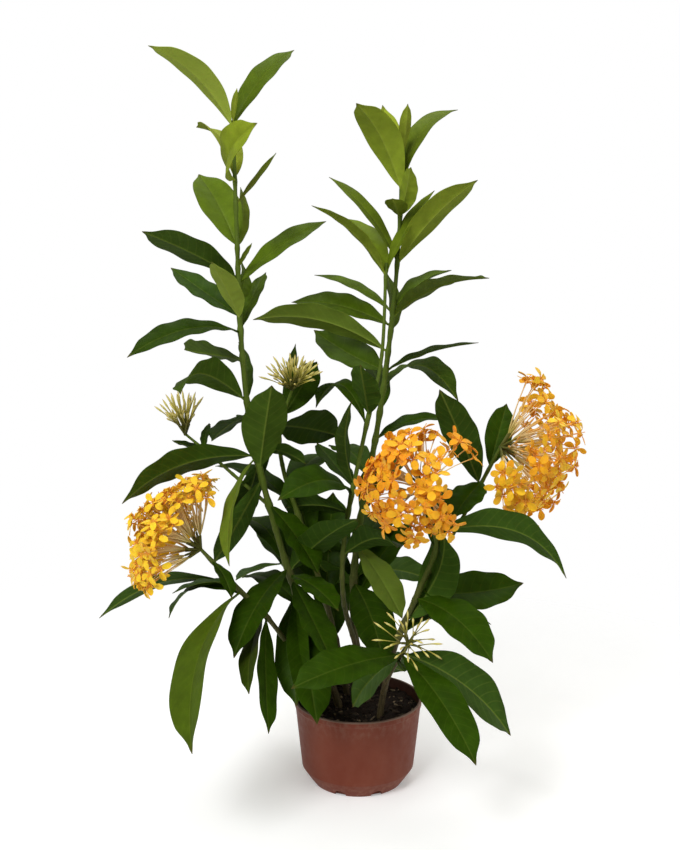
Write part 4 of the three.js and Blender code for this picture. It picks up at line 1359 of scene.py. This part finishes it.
def softbox(name, place, size, watts):
    """A square area light that looks at the middle of the plant."""
    light = bpy.data.lights.new(f"softbox_{name}", "AREA")
    light.size, light.energy = size, watts
    lamp = bpy.data.objects.new(f"softbox_{name}", light)
    lamp.location = place
    lamp.rotation_euler = (PLANT_MIDDLE - lamp.location).to_track_quat("-Z", "Y").to_euler()
    bpy.context.scene.collection.objects.link(lamp)


def backdrop():
    """A world that looks plain white and lights the plant with a faint warm glow."""
    world = bpy.data.worlds.new("studio_backdrop")
    world.use_nodes = True
    tree = world.node_tree
    seen = add(tree, "Background", {"Color": (1, 1, 1), "Strength": 1.0})
    glow = add(tree, "Background", {"Color": linear("#FFFBEA"), "Strength": 0.36})
    ray = add(tree, "LightPath", out="Is Camera Ray")
    both = add(tree, "MixShader", [ray, glow, seen])
    tree.links.new(both, tree.nodes["World Output"].inputs["Surface"])
    return world


class IXORA_OT_stage(bpy.types.Operator):
    """Lays the floor, hangs the lights and stands the camera"""

    bl_idname = "ixora.stage"
    bl_label = "Stage"

    def execute(self, context):
        scene, stage = context.scene, context.scene.ixora_stage
        bpy.ops.mesh.primitive_circle_add(vertices=96, radius=stage.floor_radius, fill_type="NGON")
        floor = context.object
        floor.name = "studio_floor"
        floor.data.materials.append(floor_material(stage))

        softbox("key", (-0.9, -1.5, 1.75), 0.9, stage.key)
        softbox("fill", (1.5, -0.9, 0.9), 1.1, stage.fill)
        softbox("top", (0.1, 0.5, 2.0), 1.4, stage.top)
        scene.world = backdrop()
        scene.view_settings.view_transform = "Standard"

        camera = bpy.data.objects.new("camera", bpy.data.cameras.new("camera"))
        camera.data.sensor_fit = "VERTICAL"
        camera.data.sensor_height = SENSOR_HEIGHT
        camera.data.lens = SENSOR_HEIGHT * stage.focal_pixels / FRAME_PIXELS
        camera.data.clip_start, camera.data.clip_end = 0.01, 50
        camera.location = stage.camera_place
        camera.rotation_euler = (math.pi / 2 - stage.camera_pitch, 0, 0)
        scene.collection.objects.link(camera)
        scene.camera = camera
        return {"FINISHED"}


class IXORA_PT_panel(bpy.types.Panel):
    """Lists the steps that build the plant, and its sizes and colours"""

    bl_label = "Potted Ixora"
    bl_idname = "IXORA_PT_panel"
    bl_space_type = "VIEW_3D"
    bl_region_type = "UI"
    bl_category = "Ixora"

    def draw(self, context):
        for operator in OPERATORS:
            self.layout.operator(operator.bl_idname)
        for name, group in SETTINGS.items():
            box = self.layout.box()
            for title in group.__annotations__:
                box.prop(getattr(context.scene, name), title)


SETTINGS = {
    "ixora_pot": PotSettings,
    "ixora_soil": SoilSettings,
    "ixora_leaf": LeafSettings,
    "ixora_stem": StemSettings,
    "ixora_flower": FlowerSettings,
    "ixora_stage": StageSettings,
}
OPERATORS = (
    IXORA_OT_pot, IXORA_OT_soil, IXORA_OT_foliage, IXORA_OT_flowers, IXORA_OT_buds, IXORA_OT_stage)


def register():
    for group in (*SETTINGS.values(), *OPERATORS, IXORA_PT_panel):
        bpy.utils.register_class(group)
    for name, group in SETTINGS.items():
        setattr(bpy.types.Scene, name, PointerProperty(type=group))


def unregister():
    for name in SETTINGS:
        delattr(bpy.types.Scene, name)
    for group in (IXORA_PT_panel, *OPERATORS, *SETTINGS.values()):
        bpy.utils.unregister_class(group)


def main():
    register()
    bpy.ops.ixora.pot()
    bpy.ops.ixora.soil()
    bpy.ops.ixora.foliage()
    bpy.ops.ixora.flowers()
    bpy.ops.ixora.buds()
    bpy.ops.ixora.stage()


if __name__ == "__main__":
    main()
